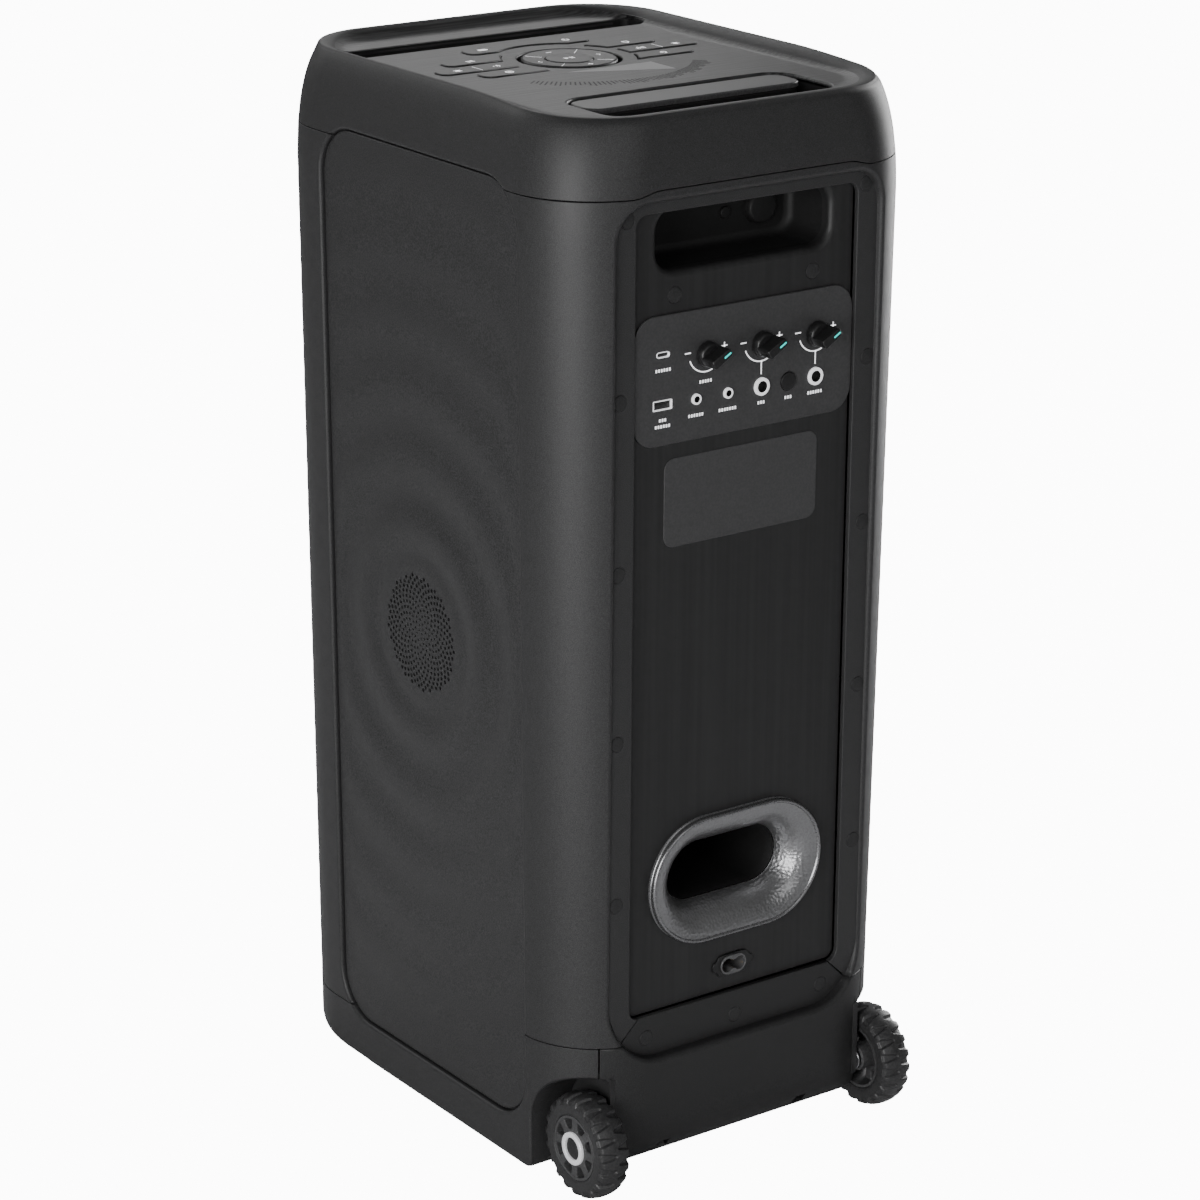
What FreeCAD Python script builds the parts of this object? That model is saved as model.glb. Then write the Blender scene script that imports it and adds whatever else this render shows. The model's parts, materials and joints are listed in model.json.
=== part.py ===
# Party speaker on two rear wheels, with a telescopic trolley handle.
# Millimetres.  +Z is up, +Y is the rear (control side), -Y is the grille side.
# The origin lies on the ground, below the middle of the whole object's width and depth.
import FreeCAD, Part
import math
import os

# ---------------------------------------------------------------- driving dimensions
# Cabinet outline
MID_HALF_WIDTH = 125.5      # half width at mid height
MID_Z = 311.0
TAPER = 0.0112              # half width gained per millimetre of height
BODY_FRONT = -167.5
BODY_REAR = 148.0
CORNER_R = 53.0
WALL = 3.5
UNDERSIDE_Z = 3.0
FRONT_SEAM_Z = 37.0         # base seam at the front
REAR_SEAM_Z = 91.0          # base seam at the rear corners
TOP_SEAM_Z = 595.0
RIM_Z = 642.0
DECK_Z = 635.5              # flat control deck inside the rim
SHOULDER_Z = 572.0          # the walls start to curve inward here
SHOULDER_IN = 14.5          # semi-axes of the shoulder's elliptical profile
SHOULDER_UP = 72.0
TOE_LENGTH = 100.0          # quarter ellipse under the front edge
TOE_RISE = 40.0
HEEL_R = 36.0               # rounding under the rear edge

# Rear face: flat recess, window and panel
RECESS_Y = 141.0
RECESS_HALF = 93.5
RECESS_Z = (78.0, 591.5)
RECESS_R = (36.0, 21.0)        # lower and upper corners
WINDOW_HALF = 78.0
WINDOW_Z = (103.5, 584.0)
PANEL_Y = RECESS_Y - WALL   # outer face of the rear panel
PANEL_T = 3.0
PANEL_HALF = 93.0
PANEL_Z = (82.0, 592.0)
COVER_HALF = 98.5           # half width of the base's rear cover

# Side panels
SIDE_Y = (-104.5, 97.0)
SIDE_Z = (31.0, 600.0)
SIDE_R = 30.0
SIDE_SINK = 2.5             # panel face below the cabinet's surface
SIDE_T = 2.5
SIDE_GAP = 0.5              # gap round a side panel
GRILLE_Y = -9.0
GRILLE_Z = 310.0
GRILLE_R = 35.5
GRILLE_HOLES = 220

# Screws of the rear face, as (x, z); each sits under a round plug
SCREW_FLANGE = [(88.2, 179.6), (88.2, 279.3), (88.2, 380.6), (88.2, 480.4), (84.0, 582.5)]
SCREW_BASE = [(65.6, 90.0), (0.0, 87.7)]
SCREW_PANEL = [(48.8, 535.6)]
PLUG_R = 4.6
SCREW_R = 1.9
COUNTERBORE = 2.25

# Control plate and what it carries, as (x, z) on the rear
PLATE_HALF = 77.6
PLATE_Z = (450.5, 525.5)
PLATE_T = 1.5
PLATE_Y = PANEL_Y + PLATE_T
BOARD_Y = 111.0             # front of the circuit board behind the plate
KNOB_Z = 499.3
KNOB_X = {"echo_knob": 27.3, "mic_knob": -11.9, "guitar_knob": -51.0}
KNOB_R = 7.5
KNOB_TURN = 60.0            # pointer's angle clockwise from straight up, seen from the rear
SPINDLE_R = 3.0
SPINDLE_PLAY = 0.05
JACK_Z = 474.0
AUX_X = (34.2, 11.8)
JACK_X = (-12.2, -51.1)
PAIR_X = -31.7
PAIR_R = 5.4
USB_X = 57.4
USB_C_Z = 503.0
USB_A_Z = 474.0
LABEL_HALF = 54.8
LABEL_Z = (389.0, 441.5)

# Rear openings
POCKET_HALF = 61.0
POCKET_Z = (549.5, 584.0)
POCKET_FRONT = 100.0
PORT_Z = 180.6
PORT_LIP = (62.5, 39.5)
PORT_FLARE = [(143.5, 60.5), (137.5, 52.0), (128.0, 45.5), (115.0, 41.5), (36.5, 40.0)]
PORT_DROP = 23.0            # half width less half height, all along the port
PORT_WALL = 2.5
INLET_Z = 120.0

# Wheels
WHEEL_R = 32.0
WHEEL_Y = 139.0
WHEEL_X = (96.5, 116.5)     # inner and outer face
RIM_R = 20.0
AXLE_R = 4.0
AXLE_PLAY = 0.05
LUGS = 20
WELL_X = 93.5
WELL_Y = 103.0
WELL_TOP = 71.5
WELL_R = 34.0
CAP_R = 6.3                    # push caps sit in a counterbore of the hub
TRIM = (6.9, 10.0)             # raised bright ring round each cap

# Trolley handle
TUBE_X = 60.0
TUBE_Y = 81.0
SLEEVE = (10.7, 8.9)        # outer and inner radius of each stage
MIDDLE = (8.7, 7.2)
INNER = (7.0, 5.8)
SLEEVE_Z = (150.0, 600.0)
MIDDLE_Z = (165.0, 610.0)
INNER_Z = (170.0, 628.0)
GRIP_HALF = 75.0
GRIP_Y = (67.5, 94.5)
GRIP_Z = (617.0, 634.5)
BAY_X = 78.5                # bay in the deck for the grip and the fingers behind it
BAY_Y = (65.5, 123.0)
BAY_Z = 604.0

# Deck controls; pads are given about the dial's centre
DIAL_Y = -32.5
DIAL_R = 28.5
DIAL_HOLE_R = 31.0
PLAY_R = 14.0
WING_R = 40.5               # circle that cuts the inner ends of the side pads
ARCH_R = 45.7               # circle that cuts the arched pad
PAD_GAP = 0.5
PAD_RISE = 0.8
PAD_T = 3.5
PAD_ROWS = {"upper": (-27.3, -14.2, 74.5), "middle": (-7.4, 5.8, 91.4), "lower": (11.5, 24.7, 74.5)}
ARCH = (43.0, -52.5, -37.8)
SLOT_HALF = 106.0
SLOT_Y = (-121.5, -101.5)
SLOT_DEPTH = 9.0

# Front
BAFFLE_Y = (-150.0, -142.0)
OPENING_HALF = 100.0
OPENING_Z = (47.0, 585.0)
OPENING_R = 31.0
GRILLE_T = 1.5
GRILLE_PROUD = 3.5
WOOFER_Z = {"lower_woofer": 165.0, "upper_woofer": 365.0}
TWEETER_Z = 512.0
SIDE_DRIVER_X = 116.3

V = FreeCAD.Vector


# ---------------------------------------------------------------- plain shapes
def rounded_wire(u, v, r, at):
    """Rounded rectangle of lines and arcs; at(u, v) gives the point in space."""
    k = r * (1 - math.sqrt(0.5))
    corners = [
        ((u[1] - r, v[0]), (u[1] - k, v[0] + k), (u[1], v[0] + r)),
        ((u[1], v[1] - r), (u[1] - k, v[1] - k), (u[1] - r, v[1])),
        ((u[0] + r, v[1]), (u[0] + k, v[1] - k), (u[0], v[1] - r)),
        ((u[0], v[0] + r), (u[0] + k, v[0] + k), (u[0] + r, v[0])),
    ]
    edges = []
    for i, (start, middle, end) in enumerate(corners):
        edges.append(Part.Arc(V(*at(*start)), V(*at(*middle)), V(*at(*end))).toShape())
        following = corners[(i + 1) % 4][0]
        if math.dist(end, following) > 1e-6:
            edges.append(Part.makeLine(V(*at(*end)), V(*at(*following))))
    return Part.Wire(edges)


def slab_x(y, z, r, x):
    """Rounded plate spanning y and z, from x[0] to x[1]."""
    wire = rounded_wire(y, z, r, lambda u, v: (x[0], u, v))
    return Part.Face(wire).extrude(V(x[1] - x[0], 0, 0))


def slab_y(x, z, r, y):
    """Rounded plate spanning x and z, from y[0] to y[1]."""
    wire = rounded_wire(x, z, r, lambda u, v: (u, y[0], v))
    return Part.Face(wire).extrude(V(0, y[1] - y[0], 0))


def slab_z(x, y, r, z):
    """Rounded plate spanning x and y, from z[0] to z[1]."""
    wire = rounded_wire(x, y, r, lambda u, v: (u, v, z[0]))
    return Part.Face(wire).extrude(V(0, 0, z[1] - z[0]))


def box(x, y, z):
    return Part.makeBox(x[1] - x[0], y[1] - y[0], z[1] - z[0], V(x[0], y[0], z[0]))


def rod_x(y, z, r, x):
    return Part.makeCylinder(r, x[1] - x[0], V(x[0], y, z), V(1, 0, 0))


def rod_y(x, z, r, y):
    return Part.makeCylinder(r, y[1] - y[0], V(x, y[0], z), V(0, 1, 0))


def rod_z(x, y, r, z):
    return Part.makeCylinder(r, z[1] - z[0], V(x, y, z[0]), V(0, 0, 1))


def prism_x(points, x):
    """Polygon of (y, z) points, from x[0] to x[1]."""
    ring = [V(x[0], y, z) for y, z in points]
    return Part.Face(Part.makePolygon(ring + ring[:1])).extrude(V(x[1] - x[0], 0, 0))


def prism_y(points, y):
    """Polygon of (x, z) points, from y[0] to y[1]."""
    ring = [V(x, y[0], z) for x, z in points]
    return Part.Face(Part.makePolygon(ring + ring[:1])).extrude(V(0, y[1] - y[0], 0))


def turned(profile):
    """Solid of revolution about the Y axis from (radius, y) points."""
    ring = [V(r, y, 0) for r, y in profile]
    face = Part.Face(Part.makePolygon(ring + ring[:1]))
    return face.revolve(V(0, 0, 0), V(0, 1, 0), 360)


def moved(shape, x, y, z):
    copy = shape.copy()
    copy.translate(V(x, y, z))
    return copy


def fuse(*shapes):
    return shapes[0].multiFuse(list(shapes[1:])).removeSplitter()


def cut_all(shape, tools):
    return shape.cut(Part.makeCompound(tools))


def mirror_x(shape):
    return shape.mirror(V(0, 0, 0), V(1, 0, 0))


def both_sides(shape):
    return Part.makeCompound([shape, mirror_x(shape)])


def both(span):
    return (-span, span)


# ---------------------------------------------------------------- cabinet outline
def half_width(z):
    return MID_HALF_WIDTH + TAPER * (z - MID_Z)


def shoulder(z):
    """How far the wall has curved inward at height z."""
    climb = min(1.0, max(0.0, z - SHOULDER_Z) / SHOULDER_UP)
    return SHOULDER_IN * (1 - math.sqrt(1 - climb ** 2))


def outline(z, inset):
    """Plan outline of the cabinet at height z, pulled in by inset."""
    total = shoulder(z) + inset
    corner = CORNER_R + 1.25 * shoulder(z) - total
    return rounded_wire(both(half_width(z) - total), (BODY_FRONT + total, BODY_REAR - total),
                        corner, lambda u, v: (u, v, z))


def block(heights, inset):
    """Solid cabinet form between the given heights."""
    return Part.makeLoft([outline(z, inset) for z in heights], True, True)


def toe_points(inset):
    """Quarter ellipse from the front face down to the sole."""
    steps = 8
    turns = [math.pi / 2 * i / steps for i in range(steps + 1)]
    centre_y, centre_z = BODY_FRONT + TOE_LENGTH, UNDERSIDE_Z + TOE_RISE
    return [(centre_y - (TOE_LENGTH - inset) * math.cos(t),
             centre_z - (TOE_RISE - inset) * math.sin(t)) for t in turns]


def side_profile(inset):
    """Side view of the cabinet: toe under the front, flat sole, heel under the rear."""
    top = RIM_Z + 60
    points = [V(-160, y, z) for y, z in toe_points(inset)]
    toe = Part.BSplineCurve()
    toe.interpolate(points)
    centre = V(-160, BODY_REAR - HEEL_R, UNDERSIDE_Z + HEEL_R)
    r = HEEL_R - inset
    heel_start = centre + V(0, 0, -r)
    heel_middle = centre + V(0, r * math.sqrt(0.5), -r * math.sqrt(0.5))
    heel_end = centre + V(0, r, 0)
    above_rear = V(-160, heel_end.y, top)
    above_front = V(-160, points[0].y, top)
    edges = [toe.toShape(), Part.makeLine(points[-1], heel_start),
             Part.Arc(heel_start, heel_middle, heel_end).toShape(),
             Part.makeLine(heel_end, above_rear), Part.makeLine(above_rear, above_front),
             Part.makeLine(above_front, points[0])]
    return Part.Face(Part.Wire(edges)).extrude(V(320, 0, 0))


def side_plate(grow, depth, side):
    """Plate of the side panel's outline, grown by grow, between two depths (outward is +)."""
    y = (SIDE_Y[0] - grow, SIDE_Y[1] + grow)
    z = (SIDE_Z[0] - grow - MID_Z, SIDE_Z[1] + grow - MID_Z)
    plate = slab_x(y, z, SIDE_R + grow, depth)
    plate.rotate(V(0, 0, 0), V(0, 1, 0), math.degrees(math.atan(TAPER)))
    plate.translate(V(MID_HALF_WIDTH, 0, MID_Z))
    return plate if side > 0 else mirror_x(plate)


def side_trays(grow, depth):
    return [side_plate(grow, (-depth, 12.0), side) for side in (1, -1)]


def wheel_wells(grow):
    well = slab_x((WELL_Y - grow, BODY_REAR + 30), (-60.0, WELL_TOP + grow), WELL_R + grow,
                  (WELL_X - grow, 150.0))
    return [well, mirror_x(well)]


def rear_recess(grow):
    """Sunk frame of the rear, with wider corners below than above."""
    y = (RECESS_Y - grow, BODY_REAR + 5)
    low, high = RECESS_Z[0] - grow, RECESS_Z[1] + grow
    lower = slab_y(both(RECESS_HALF + grow), (low, MID_Z + 80), RECESS_R[0] + grow, y)
    upper = slab_y(both(RECESS_HALF + grow), (MID_Z - 80, high), RECESS_R[1] + grow, y)
    return lower.fuse(upper).removeSplitter()


def rear_window():
    return slab_y(both(WINDOW_HALF), WINDOW_Z, 7.0, (PANEL_Y - 20, BODY_REAR + 5))


def body_shell():
    """Casing and base together, before the seams divide them."""
    outer = block([UNDERSIDE_Z, SHOULDER_Z, TOP_SEAM_Z], 0).common(side_profile(0))
    cavity = block([UNDERSIDE_Z, SHOULDER_Z, TOP_SEAM_Z + 1], WALL).common(side_profile(WALL))
    for keep in side_trays(4.0, SIDE_SINK + SIDE_T + WALL) + wheel_wells(WALL):
        cavity = cavity.cut(keep)
    cavity = cavity.cut(rear_recess(WALL))
    shell = outer.cut(cavity)
    for gap in side_trays(SIDE_GAP, SIDE_SINK + SIDE_T) + wheel_wells(0):
        shell = shell.cut(gap)
    return shell.cut(rear_recess(0)).cut(rear_window())


def base_zone():
    """Below the base seam, which climbs to the rear behind the side panels."""
    return prism_x([(-200, -5), (-200, FRONT_SEAM_Z), (-90, FRONT_SEAM_Z), (80, REAR_SEAM_Z),
                    (200, REAR_SEAM_Z), (200, -5)], both(160))


def cover_zone():
    """The rear middle of the base, with the sloping ends of its top edge."""
    right = [(69.3, WINDOW_Z[0] + 2), (84.0, REAR_SEAM_Z), (COVER_HALF, REAR_SEAM_Z), (COVER_HALF, -5)]
    left = [(-x, z) for x, z in reversed(right)]
    return prism_y(left + right, (PANEL_Y, BODY_REAR + 5))


# ---------------------------------------------------------------- fastener places
def mirrored(places):
    return places + [(-x, z) for x, z in places if x]


def screw_places():
    """Every rear screw as (x, z, y of the face it is sunk into)."""
    flange = [(x, z, RECESS_Y) for x, z in mirrored(SCREW_FLANGE) + mirrored(SCREW_BASE)]
    return flange + [(x, z, PANEL_Y) for x, z in mirrored(SCREW_PANEL)]


def counterbores(places, face_y):
    """Plug seats with screw holes, cut into a face at face_y."""
    tools = []
    for x, z in mirrored(places):
        tools.append(rod_y(x, z, PLUG_R + 0.1, (face_y - COUNTERBORE, face_y + 6)))
        tools.append(rod_y(x, z, SCREW_R + 0.2, (face_y - 12, face_y)))
    return tools


# ---------------------------------------------------------------- casing
def cabinet_shell(shell):
    """Middle wrap-round casing with the front opening and the side driver holes."""
    casing = shell.cut(base_zone()).cut(cover_zone())
    tools = [slab_y(both(OPENING_HALF), OPENING_Z, OPENING_R, (BODY_FRONT - 5, BODY_FRONT + 40)),
             rod_x(GRILLE_Y, GRILLE_Z, GRILLE_R + 1, both(150))]
    return cut_all(casing, tools + counterbores(SCREW_FLANGE, RECESS_Y))


def base_tray(shell):
    """Base with the wheel housings and the ribs that hold the axle."""
    tray = shell.common(base_zone()).cut(cover_zone())
    hollow = block([UNDERSIDE_Z, 60.0], WALL).common(side_profile(WALL))
    ribs = []
    for span in ((40.0, 46.0), (84.5, WELL_X - WALL)):
        rib = box(span, (122.0, BODY_REAR), (UNDERSIDE_Z + WALL, 52.0)).common(hollow)
        ribs += [rib, mirror_x(rib)]
    return fuse(tray, *ribs).cut(rod_x(WHEEL_Y, WHEEL_R, AXLE_R + 0.02, both(150)))


def base_rear_cover(shell):
    """Rear middle of the base, with the three lower screws of the recess."""
    cover = shell.common(cover_zone())
    notches = [box((x - 4, x + 4), (130, 146), (10, 20)) for x in (-52, 52)]
    tools = notches + [rod_x(WHEEL_Y, WHEEL_R, AXLE_R + 0.3, both(150))]
    return cut_all(cover, tools + counterbores(SCREW_BASE, RECESS_Y))


def side_panel(side):
    """Rippled side cover with a field of round holes that grow away from its centre."""
    panel = side_plate(0, (-SIDE_SINK - SIDE_T, -SIDE_SINK), side)
    holes = []
    for n in range(GRILLE_HOLES):
        share = math.sqrt((n + 0.5) / GRILLE_HOLES)
        turn = n * math.pi * (3 - math.sqrt(5))
        y = GRILLE_Y + GRILLE_R * share * math.cos(turn)
        z = GRILLE_Z + GRILLE_R * share * math.sin(turn)
        span = (105, 135) if side > 0 else (-135, -105)
        holes.append(rod_x(y, z, 0.8 + 0.6 * share, span))
    return cut_all(panel, holes)


def bowl():
    """What the rim stands round: deck floor, then a hollow curve up to the crest."""
    wires = []
    for z, inset in ((DECK_Z, 29.0), (637.2, 22.0), (640.0, 17.5), (RIM_Z + 0.1, 15.5)):
        wires.append(rounded_wire(both(half_width(z) - inset), (BODY_FRONT + inset, BODY_REAR - inset),
                                  CORNER_R + 4 - 0.75 * inset, lambda u, v, z=z: (u, v, z)))
    return Part.makeLoft(wires, True, True)


def pad_outline(name, grow):
    """Solid column with the plan of one deck pad."""
    z = (DECK_Z - 20, DECK_Z + 20)
    if name == "arch":
        half, low, high = ARCH
        plan = slab_z(both(half + grow), (DIAL_Y + low - grow, DIAL_Y + high + grow), 5.0 + grow, z)
        return plan.cut(rod_z(0, DIAL_Y, ARCH_R - grow, (z[0] - 1, z[1] + 1)))
    side, row = name
    low, high, reach = PAD_ROWS[row]
    plan = slab_z((20.0, reach + grow), (DIAL_Y + low - grow, DIAL_Y + high + grow), 5.0 + grow, z)
    plan = plan.cut(rod_z(0, DIAL_Y, WING_R - grow, (z[0] - 1, z[1] + 1)))
    return plan if side > 0 else mirror_x(plan)


def top_cap():
    """Shoulder, rim and deck in one moulding, with the bays of everything it carries."""
    levels = [TOP_SEAM_Z, 608.0, 620.0, 630.0, 637.0, RIM_Z]
    cavity = block([TOP_SEAM_Z - 1, 608.0, 620.0, DECK_Z - WALL], WALL)
    for keep in side_trays(4.0, SIDE_SINK + SIDE_T + WALL):
        cavity = cavity.cut(keep)
    cap = block(levels, 0).cut(cavity).cut(bowl())
    for gap in side_trays(SIDE_GAP, SIDE_SINK + SIDE_T):
        cap = cap.cut(gap)
    under = DECK_Z - 1.0
    bay = slab_z(both(BAY_X + 3.5), (BAY_Y[0] - 3.5, BAY_Y[1] + 3.0), 13.0, (BAY_Z - 4, under))
    cup = rod_z(0, DIAL_Y, DIAL_HOLE_R + 3, (DECK_Z - 14, under))
    trough = slab_z(both(SLOT_HALF + 3), (SLOT_Y[0] - 3, SLOT_Y[1] + 3), 8.0,
                    (DECK_Z - SLOT_DEPTH - 3, under))
    tools = [slab_z(both(BAY_X), BAY_Y, 10.0, (BAY_Z, RIM_Z + 20)),
             rod_z(0, DIAL_Y, DIAL_HOLE_R, (DECK_Z - 11, DECK_Z + 5)),
             slab_z(both(SLOT_HALF), SLOT_Y, 5.0, (DECK_Z - SLOT_DEPTH, RIM_Z + 20))]
    tools += [rod_z(x, TUBE_Y, SLEEVE[1], (BAY_Z - 10, BAY_Z + 5)) for x in (-TUBE_X, TUBE_X)]
    tools += [pad_outline(name, PAD_GAP) for name in PAD_NAMES.values()]
    cap = fuse(cap, bay, cup, trough)
    for tool in tools:
        cap = cap.cut(tool)
    return cap


# ---------------------------------------------------------------- rear
def obround(half_x, half_z, y):
    return rounded_wire(both(half_x), (PORT_Z - half_z, PORT_Z + half_z), half_z,
                        lambda u, v: (u, y, v))


def port_loft(grow, stations):
    wires = [obround(half + grow, half - PORT_DROP + grow, y) for y, half in stations]
    return Part.makeLoft(wires, True, True)


def bass_port():
    """Flared duct: a broad lip on the panel that narrows to a straight throat."""
    lip = slab_y(both(PORT_LIP[0]), (PORT_Z - PORT_LIP[1], PORT_Z + PORT_LIP[1]), PORT_LIP[1],
                 (PANEL_Y, 142.5))
    stations = [(PANEL_Y + 0.5, PORT_FLARE[1][1])] + PORT_FLARE[2:]
    return fuse(lip, port_loft(PORT_WALL, stations)).cut(port_loft(0, PORT_FLARE))


def rear_panel():
    """Flat inner panel with its openings and the posts of the amplifier board."""
    y = (PANEL_Y - PANEL_T, PANEL_Y)
    through = (y[0] - 1, y[1] + 1)
    panel = slab_y(both(PANEL_HALF), PANEL_Z, 10.0, y)
    posts = [rod_y(x, z, 3.5, (113.7, y[0] + 0.5)) for x in (-42, 42) for z in (268, 362)]
    port_half = PORT_FLARE[1][1] + PORT_WALL + 2
    tools = [slab_y(both(70.0), (458.0, 518.0), 10.0, through),
             slab_y(both(POCKET_HALF), POCKET_Z, 12.0, through),
             slab_y(both(LABEL_HALF + 0.7), (LABEL_Z[0] - 0.7, LABEL_Z[1] + 0.7), 7.7,
                    (PANEL_Y - 1.5, PANEL_Y + 1)),
             slab_y(both(port_half), (PORT_Z - port_half + PORT_DROP, PORT_Z + port_half - PORT_DROP),
                    port_half - PORT_DROP, through),
             slab_y(both(11.5), (INLET_Z - 8, INLET_Z + 8), 5.0, through)]
    holes = [rod_y(x, z, SCREW_R + 0.2, through) for x, z, _ in screw_places()]
    return cut_all(fuse(panel, *posts), tools + holes + counterbores(SCREW_PANEL, PANEL_Y))


def carry_pocket():
    """Deep tray behind the panel's upper opening, where the fingers go to lift the speaker."""
    y = (POCKET_FRONT, PANEL_Y - PANEL_T)
    shell = slab_y(both(POCKET_HALF + 3), (POCKET_Z[0] - 3, POCKET_Z[1] + 3), 15.0, (y[0] - 3, y[1]))
    shell = shell.cut(slab_y(both(POCKET_HALF), POCKET_Z, 12.0, (y[0], y[1] + 1)))
    boss = rod_y(-38.0, 568.0, 10.0, (y[0] - 0.5, y[0] + 5))
    stop = rod_y(-14.0, 567.0, 3.5, (y[0] - 0.5, y[0] + 1.5))
    return fuse(shell, boss, stop)


def control_plate():
    """Face plate for the knobs and sockets."""
    plate = slab_y(both(PLATE_HALF), PLATE_Z, 14.7, (PANEL_Y, PLATE_Y))
    y = (PANEL_Y - 1, PLATE_Y + 1)
    tools = [rod_y(x, KNOB_Z, SPINDLE_R + 0.4, y) for x in KNOB_X.values()]
    tools += [rod_y(x, JACK_Z, 3.0, y) for x in AUX_X]
    tools += [rod_y(x, JACK_Z, 5.1, y) for x in JACK_X]
    tools += [rod_y(PAIR_X, JACK_Z, PAIR_R + 0.15, y)]
    tools += [slab_y((USB_X - 4.6, USB_X + 4.6), (USB_C_Z - 1.75, USB_C_Z + 1.75), 1.7, y),
              slab_y((USB_X - 6.7, USB_X + 6.7), (USB_A_Z - 3.0, USB_A_Z + 3.0), 0.5, y)]
    return cut_all(plate, tools)


def rating_plate():
    """Blank plate set into the panel."""
    return slab_y(both(LABEL_HALF), LABEL_Z, 7.0, (PANEL_Y - 1.5, PANEL_Y + 0.4))


def mains_inlet():
    """Two-pole inlet: eared flange, round-ended shroud and a blind cavity for the plug."""
    ears = slab_y(both(17.0), (INLET_Z - 4.5, INLET_Z + 4.5), 4.4, (PANEL_Y, PANEL_Y + 1.2))
    body = slab_y(both(11.0), (INLET_Z - 7, INLET_Z + 7), 6.9, (116.0, PANEL_Y + 2.2))
    cavity = [rod_y(x, INLET_Z, 4.2, (120.0, PANEL_Y + 5)) for x in (-4.3, 4.3)]
    bridge = box(both(4.3), (120.0, PANEL_Y + 5), (INLET_Z - 3.0, INLET_Z + 3.0))
    bores = [rod_y(x, INLET_Z, 1.2, (112.0, 121.0)) for x in (-4.3, 4.3)]
    return cut_all(fuse(ears, body), cavity + [bridge] + bores)


def inlet_pins():
    return Part.makeCompound([rod_y(x, INLET_Z, 1.18, (113.0, 133.0)) for x in (-4.3, 4.3)])


def usb_c_socket():
    shell = slab_y((USB_X - 4.5, USB_X + 4.5), (USB_C_Z - 1.65, USB_C_Z + 1.65), 1.6,
                   (BOARD_Y + 0.1, PLATE_Y + 0.2))
    hollow = slab_y((USB_X - 4.2, USB_X + 4.2), (USB_C_Z - 1.35, USB_C_Z + 1.35), 1.3, (126, 145))
    tongue = box((USB_X - 3.3, USB_X + 3.3), (125, 137.5), (USB_C_Z - 0.35, USB_C_Z + 0.35))
    return fuse(shell.cut(hollow), tongue)


def usb_a_socket():
    shell = box((USB_X - 6.55, USB_X + 6.55), (BOARD_Y + 0.1, PLATE_Y + 0.2),
                (USB_A_Z - 2.85, USB_A_Z + 2.85))
    hollow = box((USB_X - 6.2, USB_X + 6.2), (124, 145), (USB_A_Z - 2.5, USB_A_Z + 2.5))
    tongue = box((USB_X - 5.6, USB_X + 5.6), (123, 137), (USB_A_Z + 0.2, USB_A_Z + 2.0))
    return fuse(shell.cut(hollow), tongue)


def phone_socket(x, collar_r, barrel_r, hole_r, body):
    """Round audio socket: body on the board, barrel through the plate, collar in front."""
    back = box((x - body, x + body), (BOARD_Y + 0.1, PANEL_Y - 1), (JACK_Z - body, JACK_Z + body))
    barrel = rod_y(x, JACK_Z, barrel_r, (PANEL_Y - 1.5, PLATE_Y + 0.5))
    collar = rod_y(x, JACK_Z, collar_r, (PLATE_Y + 0.05, PLATE_Y + 1.3))
    hole = rod_y(x, JACK_Z, hole_r, (BOARD_Y + 4, PLATE_Y + 5))
    return fuse(back, barrel, collar).cut(hole)


def audio_sockets():
    """Two 3.5 mm and two 6.35 mm sockets."""
    small = [phone_socket(x, 3.3, 2.9, 1.8, 4.5) for x in AUX_X]
    large = [phone_socket(x, 5.5, 5.0, 3.25, 7.5) for x in JACK_X]
    return Part.makeCompound(small + large)


def potentiometers():
    """Three rotary controls; the bush of each guides a knob's spindle."""
    pots = []
    for x in KNOB_X.values():
        body = box((x - 7, x + 7), (BOARD_Y + 0.1, 120.5), (KNOB_Z - 7, KNOB_Z + 7))
        bush = rod_y(x, KNOB_Z, 5.0, (120.0, PANEL_Y - 0.1))
        pots.append(fuse(body, bush).cut(rod_y(x, KNOB_Z, SPINDLE_R + SPINDLE_PLAY, (119.0, 150))))
    return Part.makeCompound(pots)


def knob(x):
    """Bar knob with its spindle; the bar points KNOB_TURN degrees clockwise from up."""
    skirt = turned([(0, PLATE_Y + 0.4), (KNOB_R, PLATE_Y + 0.4), (KNOB_R - 0.4, PLATE_Y + 5.0),
                    (KNOB_R - 1.6, PLATE_Y + 6.0), (0, PLATE_Y + 6.0)])
    bar = slab_y(both(3.2), (-KNOB_R + 0.4, KNOB_R - 0.4), 2.4, (PLATE_Y + 5.0, PLATE_Y + 16.0))
    spindle = rod_y(0, 0, SPINDLE_R, (120.0, PLATE_Y + 2))
    whole = fuse(skirt, bar, spindle)
    whole.rotate(V(0, 0, 0), V(0, 1, 0), -KNOB_TURN)
    return moved(whole, x, 0, KNOB_Z)


def pairing_button():
    cap = rod_y(PAIR_X, JACK_Z, PAIR_R, (PANEL_Y - 1.5, PLATE_Y + 0.8))
    return fuse(cap, rod_y(PAIR_X, JACK_Z, 2.0, (125.5, PANEL_Y - 1)))


def control_board():
    """Circuit board behind the plate, with the push switch of the pairing button."""
    board = box(both(74.0), (BOARD_Y - 1.6, BOARD_Y), (454.0, 522.0))
    return fuse(board, box((PAIR_X - 3, PAIR_X + 3), (BOARD_Y - 0.5, 124.0), (JACK_Z - 3, JACK_Z + 3)))


def screw_caps():
    return Part.makeCompound([rod_y(x, z, PLUG_R, (y - 0.8, y + 0.2)) for x, z, y in screw_places()])


def rear_screws():
    screws = []
    for x, z, y in screw_places():
        head = rod_y(x, z, 3.4, (y - COUNTERBORE + 0.02, y - 0.85))
        shank = rod_y(x, z, SCREW_R, (y - 16, y - COUNTERBORE + 0.5))
        screws.append(fuse(head, shank))
    return Part.makeCompound(screws)


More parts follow.
